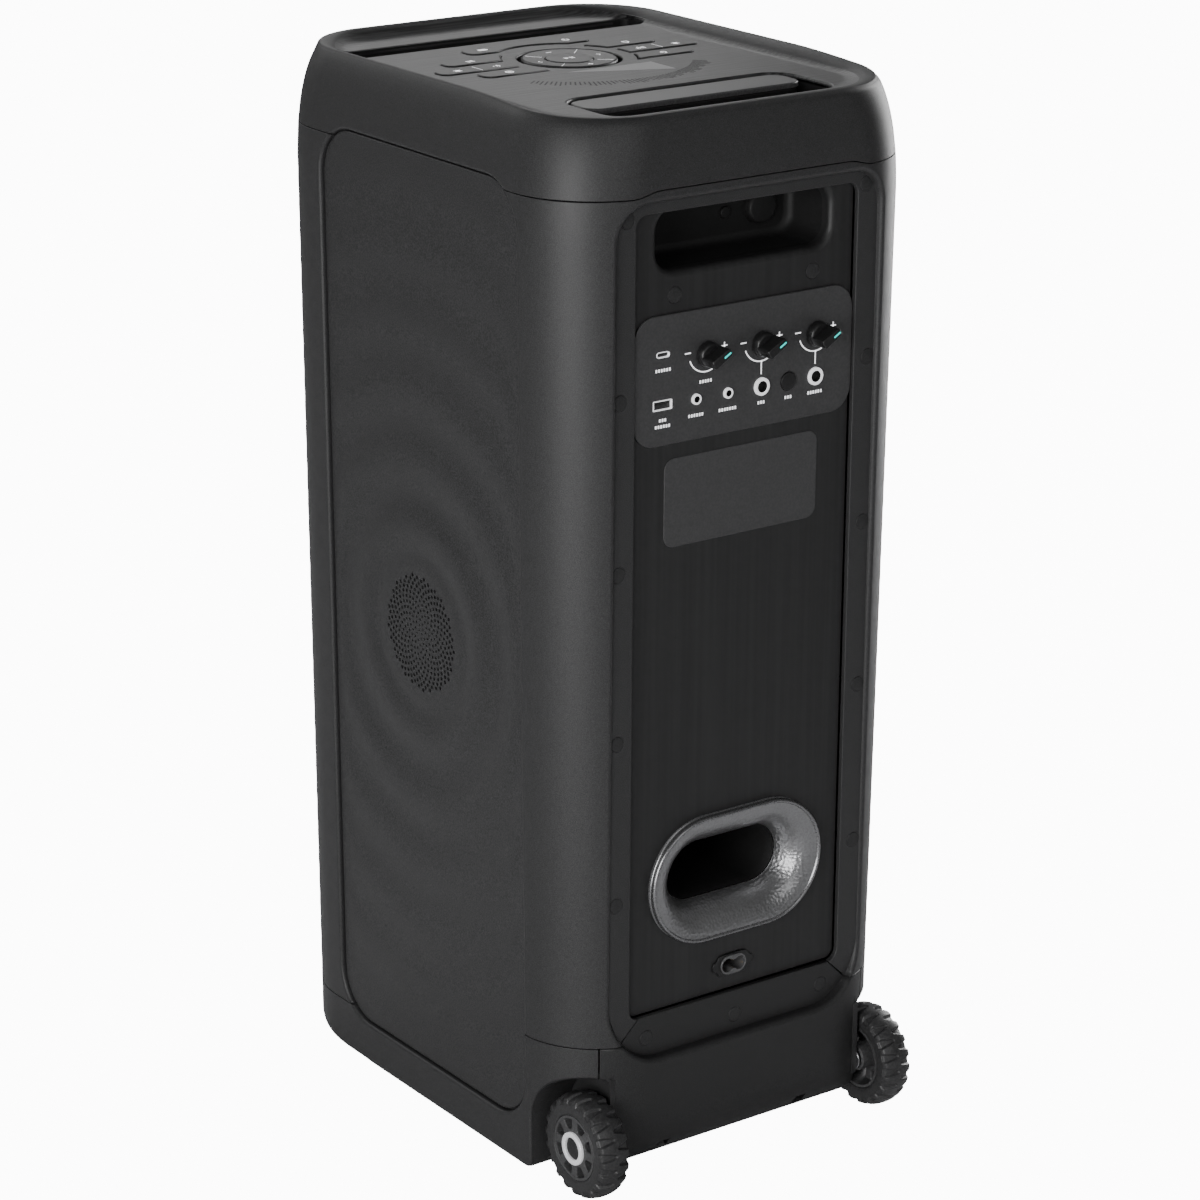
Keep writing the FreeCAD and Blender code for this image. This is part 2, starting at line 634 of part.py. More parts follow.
# ---------------------------------------------------------------- trolley handle
def tube_pair(radii, z):
    place = rod_z(TUBE_X, TUBE_Y, radii[0], z)
    return both_sides(place.cut(rod_z(TUBE_X, TUBE_Y, radii[1], (z[0] - 1, z[1] + 1))))


def trolley_sleeves():
    """Fixed outer tubes, tied together by a cross strap near the foot."""
    left, right = tube_pair(SLEEVE, SLEEVE_Z).Solids
    strap = box(both(TUBE_X), (TUBE_Y - 14.5, TUBE_Y - 7.5), (320.0, 340.0))
    strap = cut_all(strap, [rod_z(x, TUBE_Y, SLEEVE[0] - 0.5, (300, 360)) for x in (-TUBE_X, TUBE_X)])
    return fuse(left, right, strap)


def trolley_grip():
    """Flush bar that closes the bay; the inner tubes end in its sockets."""
    bar = slab_z(both(GRIP_HALF), GRIP_Y, 10.0, GRIP_Z)
    return cut_all(bar, [rod_z(x, TUBE_Y, INNER[0] + 0.02, (GRIP_Z[0] - 1, INNER_Z[1]))
                         for x in (-TUBE_X, TUBE_X)])


# ---------------------------------------------------------------- wheels
def wheel_form(profile):
    """Revolves (radius, distance from the inner face) about the wheel's axis."""
    shape = turned(profile)
    shape.rotate(V(0, 0, 0), V(0, 0, 1), -90)
    return moved(shape, WHEEL_X[0], WHEEL_Y, WHEEL_R)


def wheel_hub():
    """Spoked hub: rim band, web with eight openings, and a bore for the axle."""
    width = WHEEL_X[1] - WHEEL_X[0]
    bore = AXLE_R + AXLE_PLAY
    hub = wheel_form([(bore, 0), (8.5, 0), (8.5, 7), (18.0, 7), (18.0, 1), (RIM_R, 1),
                      (RIM_R, width - 0.4), (TRIM[1], width - 0.4), (TRIM[1], width + 1.5),
                      (TRIM[0], width + 1.5), (TRIM[0], width - 2), (bore, width - 2)])
    openings = []
    for i in range(8):
        hole = rod_x(WHEEL_Y, WHEEL_R + 14.6, 2.8, (WHEEL_X[0] - 1, WHEEL_X[1] + 1))
        hole.rotate(V(0, WHEEL_Y, WHEEL_R), V(1, 0, 0), 22.5 + 45 * i)
        openings.append(hole)
    return cut_all(hub, openings)


def tread_pocket(wide_x, tip_x):
    """Wedge cut from one sidewall towards the crown, above the top of the wheel."""
    level = 2 * WHEEL_R - 4.6
    points = [V(wide_x, WHEEL_Y - 3.4, level), V(tip_x, WHEEL_Y - 0.8, level + 3.0),
              V(tip_x, WHEEL_Y + 0.8, level + 3.0), V(wide_x, WHEEL_Y + 3.4, level)]
    return Part.Face(Part.makePolygon(points + points[:1])).extrude(V(0, 0, 8))


def tyre():
    """Crowned tyre with two staggered rows of wedge-shaped tread pockets."""
    width = WHEEL_X[1] - WHEEL_X[0]
    half = [(28.2, 0), (29.2, 0.8), (30.7, 4), (31.7, 7)]
    body = wheel_form([(RIM_R + 0.02, 0.3)] + half + [(WHEEL_R, width / 2)]
                      + [(r, width - x) for r, x in reversed(half)] + [(RIM_R + 0.02, width - 0.3)])
    pockets = []
    for row, (wide_x, tip_x) in enumerate(((WHEEL_X[0] - 1, WHEEL_X[0] + 8.5),
                                           (WHEEL_X[1] + 1, WHEEL_X[1] - 8.5))):
        for i in range(LUGS):
            pocket = tread_pocket(wide_x, tip_x)
            pocket.rotate(V(0, WHEEL_Y, WHEEL_R), V(1, 0, 0), 360 / LUGS * (i + 0.5 * row))
            pockets.append(pocket)
    return cut_all(body, pockets)


def wheel_axle():
    return rod_x(WHEEL_Y, WHEEL_R, AXLE_R, both(WHEEL_X[1] - 0.5))


def axle_washers():
    """Spacer between each wheel and the base."""
    x = (WELL_X + 0.05, WHEEL_X[0] - 0.1)
    ring = rod_x(WHEEL_Y, WHEEL_R, 7.5, x)
    return both_sides(ring.cut(rod_x(WHEEL_Y, WHEEL_R, AXLE_R + 0.02, (x[0] - 1, x[1] + 1))))


def axle_caps():
    """Domed push caps on the axle's ends, sunk in the hubs."""
    start = WHEEL_X[1] - 1.95
    dome = turned([(0, 0), (CAP_R, 0), (CAP_R, 1.9), (5.2, 2.8), (3.2, 3.4), (0, 3.6)])
    dome.rotate(V(0, 0, 0), V(0, 0, 1), -90)
    cap = moved(dome, start, WHEEL_Y, WHEEL_R)
    return both_sides(cap.cut(rod_x(WHEEL_Y, WHEEL_R, AXLE_R + 0.02, (start - 1, WHEEL_X[1] - 0.45))))


def front_feet():
    foot = rod_z(76.0, -46.0, 13.0, (0.0, UNDERSIDE_Z - 0.02))
    return both_sides(foot)


# ---------------------------------------------------------------- front
def front_grille():
    """Curved steel sheet that follows the casing, with a folded edge all round."""
    reach = (BODY_FRONT - 10, BODY_FRONT + 45)
    levels = [OPENING_Z[0] - 5, SHOULDER_Z, OPENING_Z[1] + 5]
    outside = block(levels, -GRILLE_PROUD)
    plan = [slab_y(both(OPENING_HALF - gap), (OPENING_Z[0] + gap, OPENING_Z[1] - gap),
                   OPENING_R - gap, reach) for gap in (0.6, 0.6 + GRILLE_T)]
    sheet = outside.cut(block(levels, GRILLE_T - GRILLE_PROUD)).common(plan[0])
    edge = outside.cut(block(levels, 6.0)).common(plan[0].cut(plan[1]))
    return fuse(sheet, edge)


def front_baffle():
    """Board that carries the drivers, with a forward rim that the grille sits on."""
    z = (OPENING_Z[0] - 3, OPENING_Z[1] + 3)
    board = slab_y(both(118.0), z, 8.0, BAFFLE_Y)
    levels = [UNDERSIDE_Z, SHOULDER_Z, TOP_SEAM_Z + 1]
    board = board.common(block(levels, WALL + 0.05))
    rim = slab_y(both(OPENING_HALF - 1), (OPENING_Z[0] + 1, OPENING_Z[1] - 1), OPENING_R - 1,
                 (BODY_FRONT - 5, BAFFLE_Y[0] + 1))
    rim = rim.cut(slab_y(both(OPENING_HALF - 6), (OPENING_Z[0] + 6, OPENING_Z[1] - 6),
                         OPENING_R - 6, (BODY_FRONT - 9, BAFFLE_Y[0] + 2)))
    rim = rim.common(block(levels, 6.1))
    holes = [rod_y(0, z, 73.0, (-170, -130)) for z in WOOFER_Z.values()]
    holes.append(rod_y(0, TWEETER_Z, 31.0, (-170, -130)))
    return cut_all(fuse(board, rim), holes)


def at_woofers(shape):
    return [moved(shape, 0, BAFFLE_Y[0], z) for z in WOOFER_Z.values()]


def woofer_baskets():
    """Flange, open-backed basket and ring magnet with its pole piece."""
    profile = [(71.0, -4.0), (82.0, -4.0), (82.0, -0.05), (72.5, -0.05), (72.0, 4.0), (48.0, 44.0),
               (48.0, 72.0), (0.0, 72.0), (0.0, 44.0), (12.0, 44.0), (12.0, 63.0), (15.5, 63.0),
               (15.5, 44.0), (45.5, 44.0), (69.5, 4.0)]
    return Part.makeCompound(at_woofers(turned(profile)))


def woofer_surrounds():
    """Half-roll rubber rings between the baskets and the cones."""
    profile = [(61.3, 1.0), (61.3, -3.0), (63.0, -7.0), (66.0, -8.6), (69.0, -7.0), (70.5, -5.4),
               (76.0, -5.4), (76.0, -4.05), (70.0, -4.05), (68.0, -6.0), (66.0, -7.2), (64.0, -6.0),
               (62.7, -3.0), (62.7, 1.0)]
    return Part.makeCompound(at_woofers(turned(profile)))


def cone_form(mouth, throat, depth, coil):
    """Cone, dust cap and voice coil former in one moving piece."""
    skin = 1.2
    cap = throat * 1.45
    rise = depth * (mouth - cap) / (mouth - throat)
    return turned([(mouth, 0), (mouth, skin), (throat + skin, depth + skin), (throat, depth + skin),
                   (throat, depth + coil), (throat - 0.8, depth + coil), (throat - 0.8, rise - 1.0),
                   (0, rise - 5.0), (0, rise - 6.5), (cap * 0.6, rise - 4.8), (cap, rise)])


def woofer_cone(z):
    return moved(cone_form(61.0, 14.0, 32.0, 23.0), 0, BAFFLE_Y[0] + 1.0, z)


def light_rings():
    """Clear diffuser rings round the woofers."""
    ring = turned([(83.0, -5.5), (84.5, -7.0), (88.5, -7.0), (90.0, -5.5), (90.0, -0.05), (83.0, -0.05)])
    return Part.makeCompound(at_woofers(ring))


def tweeter():
    """Dome in a shallow horn, with its magnet behind."""
    form = turned([(0, -2.0), (6.0, -1.4), (11.0, 1.0), (13.0, 3.5), (15.0, 3.5), (24.0, -1.5),
                   (40.0, -3.5), (44.0, -3.5), (44.0, -0.05), (29.0, -0.05), (29.0, 24.0), (0, 24.0)])
    return moved(form, 0, BAFFLE_Y[0], TWEETER_Z)


def on_driver_axis(shape, side):
    """Turns a driver that faces -Y so that it faces out of a side wall."""
    copy = shape.copy()
    copy.rotate(V(0, 0, 0), V(0, 0, 1), 90 * side)
    return moved(copy, side * SIDE_DRIVER_X, GRILLE_Y, GRILLE_Z)


def side_driver_frames():
    frame = turned([(33.5, 0), (44.0, 0), (44.0, 3.0), (34.5, 3.0), (24.0, 20.0), (24.0, 36.0),
                    (0, 36.0), (0, 21.0), (6.5, 21.0), (6.5, 31.0), (9.5, 31.0), (9.5, 21.0),
                    (22.0, 20.0), (32.5, 3.0)])
    return Part.makeCompound([on_driver_axis(frame, side) for side in (1, -1)])


def side_cone(side):
    return on_driver_axis(moved(cone_form(30.0, 8.0, 14.0, 10.0), 0, 2.5, 0), side)


# ---------------------------------------------------------------- inside
def battery_pack():
    return slab_z(both(70.0), (-60.0, 22.0), 6.0, (UNDERSIDE_Z + WALL + 0.05, 50.0))


def power_supply():
    return slab_z(both(36.0), (34.0, 112.0), 3.0, (UNDERSIDE_Z + WALL + 0.05, 42.0))


def amplifier_board():
    """Board on the panel's posts, with its heat sink."""
    board = box(both(48.0), (112.0, 113.6), (262.0, 368.0))
    base = box(both(30.0), (106.0, 112.2), (280.0, 350.0))
    fins = [box((x, x + 2), (92.0, 106.5), (280.0, 350.0)) for x in range(-30, 29, 8)]
    return fuse(board, base, *fins)


def button_board():
    """Board under the deck that the pads press on, hung from the dial's cup."""
    board = slab_z(both(96.0), (DIAL_Y - 56, DIAL_Y + 30), 6.0, (DECK_Z - 8.6, DECK_Z - 7.0))
    return board.cut(rod_z(0, DIAL_Y, DIAL_HOLE_R + 3.1, (DECK_Z - 20, DECK_Z)))


# ---------------------------------------------------------------- deck controls
PAD_NAMES = {
    "power_bar": "arch",
    "source_button": (1, "upper"),
    "effects_button": (1, "middle"),
    "record_button": (1, "lower"),
    "vocal_button": (-1, "upper"),
    "sound_button": (-1, "middle"),
    "light_button": (-1, "lower"),
}


def pad(name):
    level = DECK_Z + PAD_RISE
    return pad_outline(name, 0).common(box(both(120), both(120), (level - PAD_T, level)))


def dial_ring():
    ring = rod_z(0, DIAL_Y, DIAL_R, (DECK_Z - 5.0, DECK_Z + 0.5))
    return ring.cut(rod_z(0, DIAL_Y, PLAY_R + 0.4, (DECK_Z - 6, DECK_Z + 1)))


def play_button():
    return rod_z(0, DIAL_Y, PLAY_R, (DECK_Z - 5.0, DECK_Z + 0.2))


# ---------------------------------------------------------------- all parts
def all_parts():
    shell = body_shell()
    hub, tread = wheel_hub(), tyre()
    parts = {
        "cabinet_shell": cabinet_shell(shell),
        "base_tray": base_tray(shell),
        "base_rear_cover": base_rear_cover(shell),
        "top_cap": top_cap(),
        "right_side_panel": side_panel(1),
        "left_side_panel": side_panel(-1),
        "rear_panel": rear_panel(),
        "carry_pocket": carry_pocket(),
        "control_plate": control_plate(),
        "rating_plate": rating_plate(),
        "bass_port": bass_port(),
        "mains_inlet": mains_inlet(),
        "inlet_pins": inlet_pins(),
        "usb_c_socket": usb_c_socket(),
        "usb_a_socket": usb_a_socket(),
        "audio_sockets": audio_sockets(),
        "potentiometers": potentiometers(),
        "pairing_button": pairing_button(),
        "control_board": control_board(),
        "screw_caps": screw_caps(),
        "rear_screws": rear_screws(),
        "trolley_sleeves": trolley_sleeves(),
        "trolley_middle_tubes": tube_pair(MIDDLE, MIDDLE_Z),
        "trolley_inner_tubes": tube_pair(INNER, INNER_Z),
        "trolley_grip": trolley_grip(),
        "right_wheel_hub": hub,
        "left_wheel_hub": mirror_x(hub),
        "right_tyre": tread,
        "left_tyre": mirror_x(tread),
        "wheel_axle": wheel_axle(),
        "axle_washers": axle_washers(),
        "axle_caps": axle_caps(),
        "front_feet": front_feet(),
        "front_grille": front_grille(),
        "front_baffle": front_baffle(),
        "woofer_baskets": woofer_baskets(),
        "woofer_surrounds": woofer_surrounds(),
        "light_rings": light_rings(),
        "tweeter": tweeter(),
        "side_driver_frames": side_driver_frames(),
        "right_side_cone": side_cone(1),
        "left_side_cone": side_cone(-1),
        "battery_pack": battery_pack(),
        "power_supply": power_supply(),
        "amplifier_board": amplifier_board(),
        "button_board": button_board(),
        "dial_ring": dial_ring(),
        "play_button": play_button(),
    }
    for name, x in KNOB_X.items():
        parts[name] = knob(x)
    for name, z in WOOFER_Z.items():
        parts[name + "_cone"] = woofer_cone(z)
    for name, plan in PAD_NAMES.items():
        parts[name] = pad(plan)
    return parts


os.makedirs("parts", exist_ok=True)
for node, shape in all_parts().items():
    if not shape.isValid() or not shape.Solids:
        raise SystemExit(node + " is not a valid solid")
    shape.exportStep(os.path.join("parts", node + ".step"))
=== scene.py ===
"""Party speaker: the visual model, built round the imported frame.

Shapes are worked out in millimetres in the row frame (+Z up, +Y rear) and turned into metres once,
in Mesh.build.
"""
import json
import math

import bpy
import numpy as np
from mathutils import Matrix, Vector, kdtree
from mathutils.geometry import delaunay_2d_cdt


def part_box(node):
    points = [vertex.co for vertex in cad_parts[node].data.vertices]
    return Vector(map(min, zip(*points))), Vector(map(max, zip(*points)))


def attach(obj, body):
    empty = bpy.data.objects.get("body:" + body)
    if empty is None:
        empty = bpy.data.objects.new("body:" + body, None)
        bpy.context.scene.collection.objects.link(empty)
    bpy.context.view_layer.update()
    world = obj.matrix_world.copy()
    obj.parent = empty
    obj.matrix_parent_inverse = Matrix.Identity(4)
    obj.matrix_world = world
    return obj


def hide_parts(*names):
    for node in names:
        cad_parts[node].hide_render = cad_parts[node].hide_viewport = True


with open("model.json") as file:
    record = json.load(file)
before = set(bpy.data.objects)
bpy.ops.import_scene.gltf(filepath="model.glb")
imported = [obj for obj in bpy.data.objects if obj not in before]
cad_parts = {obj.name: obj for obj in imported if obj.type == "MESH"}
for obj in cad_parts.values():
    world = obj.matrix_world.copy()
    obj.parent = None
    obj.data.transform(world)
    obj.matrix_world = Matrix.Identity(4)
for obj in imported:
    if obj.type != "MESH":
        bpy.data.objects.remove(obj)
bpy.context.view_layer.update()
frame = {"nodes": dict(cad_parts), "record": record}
SLOT_OF = {row["node"]: row["material_slot"] for row in frame["record"]["subparts"]}

MM = 0.001


def corner(node, high):
    """Lowest or highest corner of a CAD node, in millimetres."""
    return np.array(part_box(node)[1 if high else 0]) / MM


# ---------------------------------------------------------------- driving dimensions (mm)
MID_HALF, MID_Z, TAPER = 125.5, 311.0, 0.0112       # half width at mid height, and its growth
FRONT, REAR = -167.5, 148.0
CORNER_R, WALL = 53.0, 3.5
SOLE_Z, FRONT_SEAM, REAR_SEAM = 3.0, 37.0, 91.0
TOP_SEAM = corner("top_cap", False)[2]
RIM_Z = corner("top_cap", True)[2]
DECK_Z = 635.5
SHOULDER_Z, SHOULDER_IN, SHOULDER_UP = 572.0, 14.5, 72.0
TOE_LENGTH, TOE_RISE, HEEL_R = 100.0, 40.0, 36.0
FLANGE_Y = 141.0                                    # flat flange of the rear recess
PANEL_Y = corner("rear_panel", True)[1]
RECESS_HALF, RECESS_Z, RECESS_R, RECESS_LOW_R = 93.5, (78.0, 591.5), 21.0, 36.0
WINDOW_HALF, WINDOW_Z, WINDOW_R = 78.0, (103.5, 584.0), 7.0
COVER_HALF = 98.5
STEP_X, STEP_TOP = 84.0, 71.3                       # sloping ends of the cover's top edge
SIDE_Y, SIDE_Z, SIDE_R, SIDE_SINK = (-104.5, 97.0), (31.0, 600.0), 30.0, 2.5
SEAM = 0.25                                         # half of a visible seam
FIELD_Y, FIELD_Z, FIELD_R = -9.0, 310.0, 35.5       # hole field of a side panel
WELL_X, WELL_Y, WELL_TOP, WELL_R = 93.5, 103.0, 71.5, 34.0
SOLE_EDGE, WELL_EDGE, WELL_TOE = 4.5, 1.8, 8.0      # rounding of the base's lower edges
GRILLE_HALF, GRILLE_Z, GRILLE_R = 99.4, (47.6, 584.4), 30.4
GRILLE_GAP, GRILLE_PROUD = 0.6, 3.5
WHEEL_R, WHEEL_Y = 32.0, 139.0
DIAL_Y, DIAL_R, DIAL_HOLE_R, PLAY_R = -32.5, 28.5, 31.0, 14.0

UP = np.array((0.0, 0.0, 1.0))


# ---------------------------------------------------------------- mesh building
def unit(v):
    v = np.asarray(v, float)
    return v / np.maximum(np.linalg.norm(v, axis=-1, keepdims=True), 1e-12)


def smooth(t):
    t = np.clip(t, 0, 1)
    return t * t * (3 - 2 * t)


def columns(*values):
    """Table with one column per value; single numbers fill their column."""
    return np.column_stack(np.broadcast_arrays(*values))


class Mesh:
    """Gathers faces as corner points and corner normals, then welds them into one object."""

    def __init__(self):
        self.parts = []

    def add(self, points, normals, slot=0):
        """points and normals are (faces, corners, 3); each face is turned to agree with its normals."""
        points = np.asarray(points, float)
        normals = np.broadcast_to(np.asarray(normals, float), points.shape).copy()
        a = points[:, 1] - points[:, 0]
        b = points[:, 2] - points[:, 0]
        if points.shape[1] == 4:
            a = points[:, 2] - points[:, 0]
            b = points[:, 3] - points[:, 1]
        wrong = np.einsum("ij,ij->i", np.cross(a, b), normals.mean(axis=1)) < 0
        points = points.copy()
        points[wrong] = points[wrong][:, ::-1]
        normals[wrong] = normals[wrong][:, ::-1]
        self.parts.append((points, normals, slot))

    def strip(self, rows, normals, closed=True, slot=0):
        """Quads between rows of points; rows and normals are (rows, points, 3)."""
        rows, normals = np.asarray(rows, float), np.asarray(normals, float)
        if closed:
            rows = np.concatenate([rows, rows[:, :1]], axis=1)
            normals = np.concatenate([normals, normals[:, :1]], axis=1)
        quad = [rows[:-1, :-1], rows[1:, :-1], rows[1:, 1:], rows[:-1, 1:]]
        turn = [normals[:-1, :-1], normals[1:, :-1], normals[1:, 1:], normals[:-1, 1:]]
        self.add(np.stack(quad, 2).reshape(-1, 4, 3), np.stack(turn, 2).reshape(-1, 4, 3), slot)

    def build(self, name, body, materials, *stands_for):
        corners = np.concatenate([p.reshape(-1, 3) for p, _, _ in self.parts])
        normals = np.concatenate([n.reshape(-1, 3) for _, n, _ in self.parts])
        sizes = np.concatenate([np.full(len(p), p.shape[1]) for p, _, _ in self.parts])
        slots = np.concatenate([np.full(len(p), s) for p, _, s in self.parts])
        keys = np.round(corners * 500).astype(np.int64)
        keys = (keys[:, 0] * 4000003 + keys[:, 1]) * 4000037 + keys[:, 2]
        _, first, index = np.unique(keys, return_index=True, return_inverse=True)
        faces, loop_normals, face_slots = [], [], []
        start = 0
        for size, slot in zip(sizes, slots):
            ring, seen = [], set()
            for k in range(start, start + size):
                if index[k] not in seen:
                    seen.add(index[k])
                    ring.append(k)
            if len(ring) > 2:
                faces.append([int(index[k]) for k in ring])
                loop_normals.extend(normals[ring])
                face_slots.append(slot)
            start += size
        mesh = bpy.data.meshes.new(name)
        mesh.from_pydata(corners[first] * MM, [], faces)
        for material in materials:
            mesh.materials.append(material)
        mesh.polygons.foreach_set("material_index", face_slots)
        mesh.polygons.foreach_set("use_smooth", [True] * len(faces))
        mesh.normals_split_custom_set([tuple(n) for n in unit(np.array(loop_normals))])
        piece = bpy.data.objects.new(name, mesh)
        bpy.context.scene.collection.objects.link(piece)
        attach(piece, body)
        if stands_for:
            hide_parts(*stands_for)
        return piece


# ---------------------------------------------------------------- flat outlines
def area(loop):
    nxt = np.roll(loop, -1, axis=0)
    return 0.5 * np.sum(loop[:, 0] * nxt[:, 1] - nxt[:, 0] * loop[:, 1])


def ccw(loop):
    loop = np.asarray(loop, float)
    return loop if area(loop) > 0 else loop[::-1]


def arc(centre, r, start, end, n):
    """Points on an arc, angles in degrees from the first axis."""
    t = np.radians(np.linspace(start, end, n))
    return np.stack([centre[0] + r * np.cos(t), centre[1] + r * np.sin(t)], 1)


def rounded(u, v, r, n=10):
    """Rounded rectangle, counterclockwise."""
    spots = [((u[1] - r, v[0] + r), -90), ((u[1] - r, v[1] - r), 0),
             ((u[0] + r, v[1] - r), 90), ((u[0] + r, v[0] + r), 180)]
    return np.concatenate([arc(c, r, a, a + 90, n) for c, a in spots])


def circle(centre, r, n=40, turn=0.0):
    return arc(centre, r, turn, turn + 360, n + 1)[:-1]


def dense(loop, step):
    """Adds points so that no side of the closed outline is longer than step."""
    out = []
    for a, b in zip(loop, np.roll(loop, -1, axis=0)):
        n = max(1, int(math.ceil(np.linalg.norm(b - a) / step)))
        out.append(a + (b - a) * np.linspace(0, 1, n, endpoint=False)[:, None])
    return np.concatenate(out)


def run_lengths(path):
    """Distance along an open path at each of its points."""
    return np.concatenate([[0], np.cumsum(np.linalg.norm(np.diff(path, axis=0), axis=1))])


def tidy(loop):
    """Drops points that repeat the one before."""
    gap = np.linalg.norm((loop - np.roll(loop, 1, axis=0))[:, :2], axis=1)
    return loop[gap > 1e-4]


def side_normals(loop):
    """Unit inward directions at the corners of a counterclockwise outline, and the mitre lengths."""
    edge = unit(np.roll(loop, -1, axis=0) - loop)
    left = np.stack([-edge[:, 1], edge[:, 0]], 1)
    both = left + np.roll(left, 1, axis=0)
    direction = unit(both)
    mitre = 1.0 / np.maximum(np.einsum("ij,ij->i", direction, left), 0.5)
    return direction, mitre


def inward(loop, distance):
    direction, mitre = side_normals(loop)
    return loop + direction * (mitre * distance)[:, None]


def inside(points, loop):
    """Which points lie inside a closed outline."""
    x, y = points[:, 0], points[:, 1]
    hit = np.zeros(len(points), bool)
    for (x0, y0), (x1, y1) in zip(loop, np.roll(loop, -1, axis=0)):
        if y0 != y1:
            crosses = (y0 > y) != (y1 > y)
            hit ^= crosses & (x < (x1 - x0) * (y - y0) / (y1 - y0) + x0)
    return hit


MANY = 40       # with more holes than this, every hole is taken to be small and convex


def triangulate(outer, holes, step):
    """Triangles that fill an outline round its holes, with grid points every step."""
    loops = [outer] + list(holes)
    points = np.concatenate(loops)
    owner = np.concatenate([np.full(len(l), i) for i, l in enumerate(loops)])
    if step:
        low, high = outer.min(0), outer.max(0)
        columns = np.arange(low[0] + step / 2, high[0], step)
        rows = np.arange(low[1] + step / 2, high[1], step * 0.87)
        shift = np.where(np.arange(len(rows)) % 2, step / 2, 0.0)
        grid = np.stack([(columns[None, :] + shift[:, None]).ravel(),
                         np.repeat(rows, len(columns))], 1)
        grid = grid[inside(grid, outer)]
        for hole in holes if len(holes) <= MANY else ():
            grid = grid[~inside(grid, hole)]
        tree = kdtree.KDTree(len(points))
        for i, p in enumerate(points):
            tree.insert((p[0], p[1], 0.0), i)
        tree.balance()
        far = [tree.find((p[0], p[1], 0.0))[2] > 0.55 * step for p in grid]
        grid = grid[np.array(far, bool)] if len(grid) else grid
        points = np.concatenate([points, grid])
        owner = np.concatenate([owner, np.full(len(grid), -1)])
    edges, start = [], 0
    for loop in loops:
        n = len(loop)
        edges += [(start + i, start + (i + 1) % n) for i in range(n)]
        start += n
    spots, _, faces, origin, _, _ = delaunay_2d_cdt([tuple(p) for p in points], edges, [], 1, 1e-6)
    spots = np.array([tuple(p) for p in spots])
    faces = np.array([f for f in faces if len(f) == 3])
    if len(holes) > MANY:
        whose = np.array([owner[o[0]] if o else -1 for o in origin])[faces]
        hollow = (whose[:, 0] > 0) & (whose[:, 0] == whose[:, 1]) & (whose[:, 1] == whose[:, 2])
        faces = faces[~hollow]
    else:
        centres = spots[faces].mean(1)
        for hole in holes:
            keep = ~inside(centres, hole)
            faces, centres = faces[keep], centres[keep]
    return spots, faces


# ---------------------------------------------------------------- surfaces: (n, 2) -> points, normals
def plane(point, across, along):
    """Flat surface; its normal is across x along."""
    point, across, along = (np.asarray(a, float) for a in (point, across, along))
    facing = unit(np.cross(across, along))

    def at(uv):
        return point + uv[:, :1] * across + uv[:, 1:] * along, np.tile(facing, (len(uv), 1))
    return at


def rear_plane(y):
    """Outward is +Y; coordinates are (x, z)."""
    def at(uv):
        return columns(uv[:, 0], y, uv[:, 1]), np.tile((0.0, 1.0, 0.0), (len(uv), 1))
    return at


def top_plane(z):
    return plane((0, 0, z), (1, 0, 0), (0, 1, 0))


def curved(position):
    """Surface from a position function; the normal points away from the cabinet's middle."""
    def at(uv):
        e = 0.05
        p = position(uv)
        du = position(uv + (e, 0)) - position(uv - (e, 0))
        dv = position(uv + (0, e)) - position(uv - (0, e))
        n = unit(np.cross(du, dv))
        away = p - np.array((0.0, -10.0, 320.0))
        n[np.einsum("ij,ij->i", n, away) < 0] *= -1
        return p, n
    return at


# ---------------------------------------------------------------- plates
ROUND_STEPS = 4
SHARP_EDGE = 0.01       # edges with a smaller radius stay square


def with_radius(loop, r):
    """Adds the radius of the face edge as a third column, unless the outline carries its own."""
    loop = np.asarray(loop, float)
    return loop if loop.shape[1] == 3 else columns(*loop.T, float(r))


def rim_rows(mesh, surface, loop, sign, depth, slot):
    """The rounded edge, the wall and the back edge of one outline of a plate."""
    flat, radius = loop[:, :2], loop[:, 2]
    direction, mitre = side_normals(flat)
    outward, _ = surface(flat - direction * (0.05 * sign))
    at, top = surface(flat)
    side = unit(outward - at)
    if radius.max() < SHARP_EDGE:
        mesh.strip([at, at - top * depth], [side, side], slot=slot)
        return
    rows, normals = [], []
    for k in range(ROUND_STEPS + 1):
        a = math.pi / 2 * k / ROUND_STEPS
        p, n = surface(flat + direction * (mitre * radius * (1 - math.sin(a)) * sign)[:, None])
        rows.append(p - n * (radius * (1 - math.cos(a)))[:, None])
        normals.append(unit(top * math.cos(a) + side * math.sin(a)))
    mesh.strip(rows, normals, slot=slot)
    p, n = surface(flat)
    low = p - n * np.maximum(depth - np.minimum(radius, 0.5), radius)[:, None]
    mesh.strip([rows[-1], low], [side, side], slot=slot)
    q, n = surface(flat + direction * (mitre * radius * sign)[:, None])
    mesh.strip([low, q - n * depth], [side - top, side - top], slot=slot)


def plate(mesh, surface, outer, holes=(), depth=3.0, edge=0.5, hole_edge=None, step=None, slot=0):
    """Closed plate on a surface, with rounded face edges, walls and a back.

    edge and hole_edge are radii; an outline with three columns carries its own radius at each point.
    """
    hole_edge = edge if hole_edge is None else hole_edge
    outer = tidy(ccw(with_radius(outer, edge)))
    holes = [tidy(ccw(with_radius(h, hole_edge))) for h in holes]
    spots, faces = triangulate(inward(outer[:, :2], outer[:, 2]),
                               [inward(h[:, :2], -h[:, 2]) for h in holes], step)
    p, n = surface(spots)
    mesh.add(p[faces], n[faces], slot)
    mesh.add((p - n * depth)[faces], -n[faces], slot)
    rim_rows(mesh, surface, outer, 1, depth, slot)
    for hole in holes:
        rim_rows(mesh, surface, hole, -1, depth, slot)


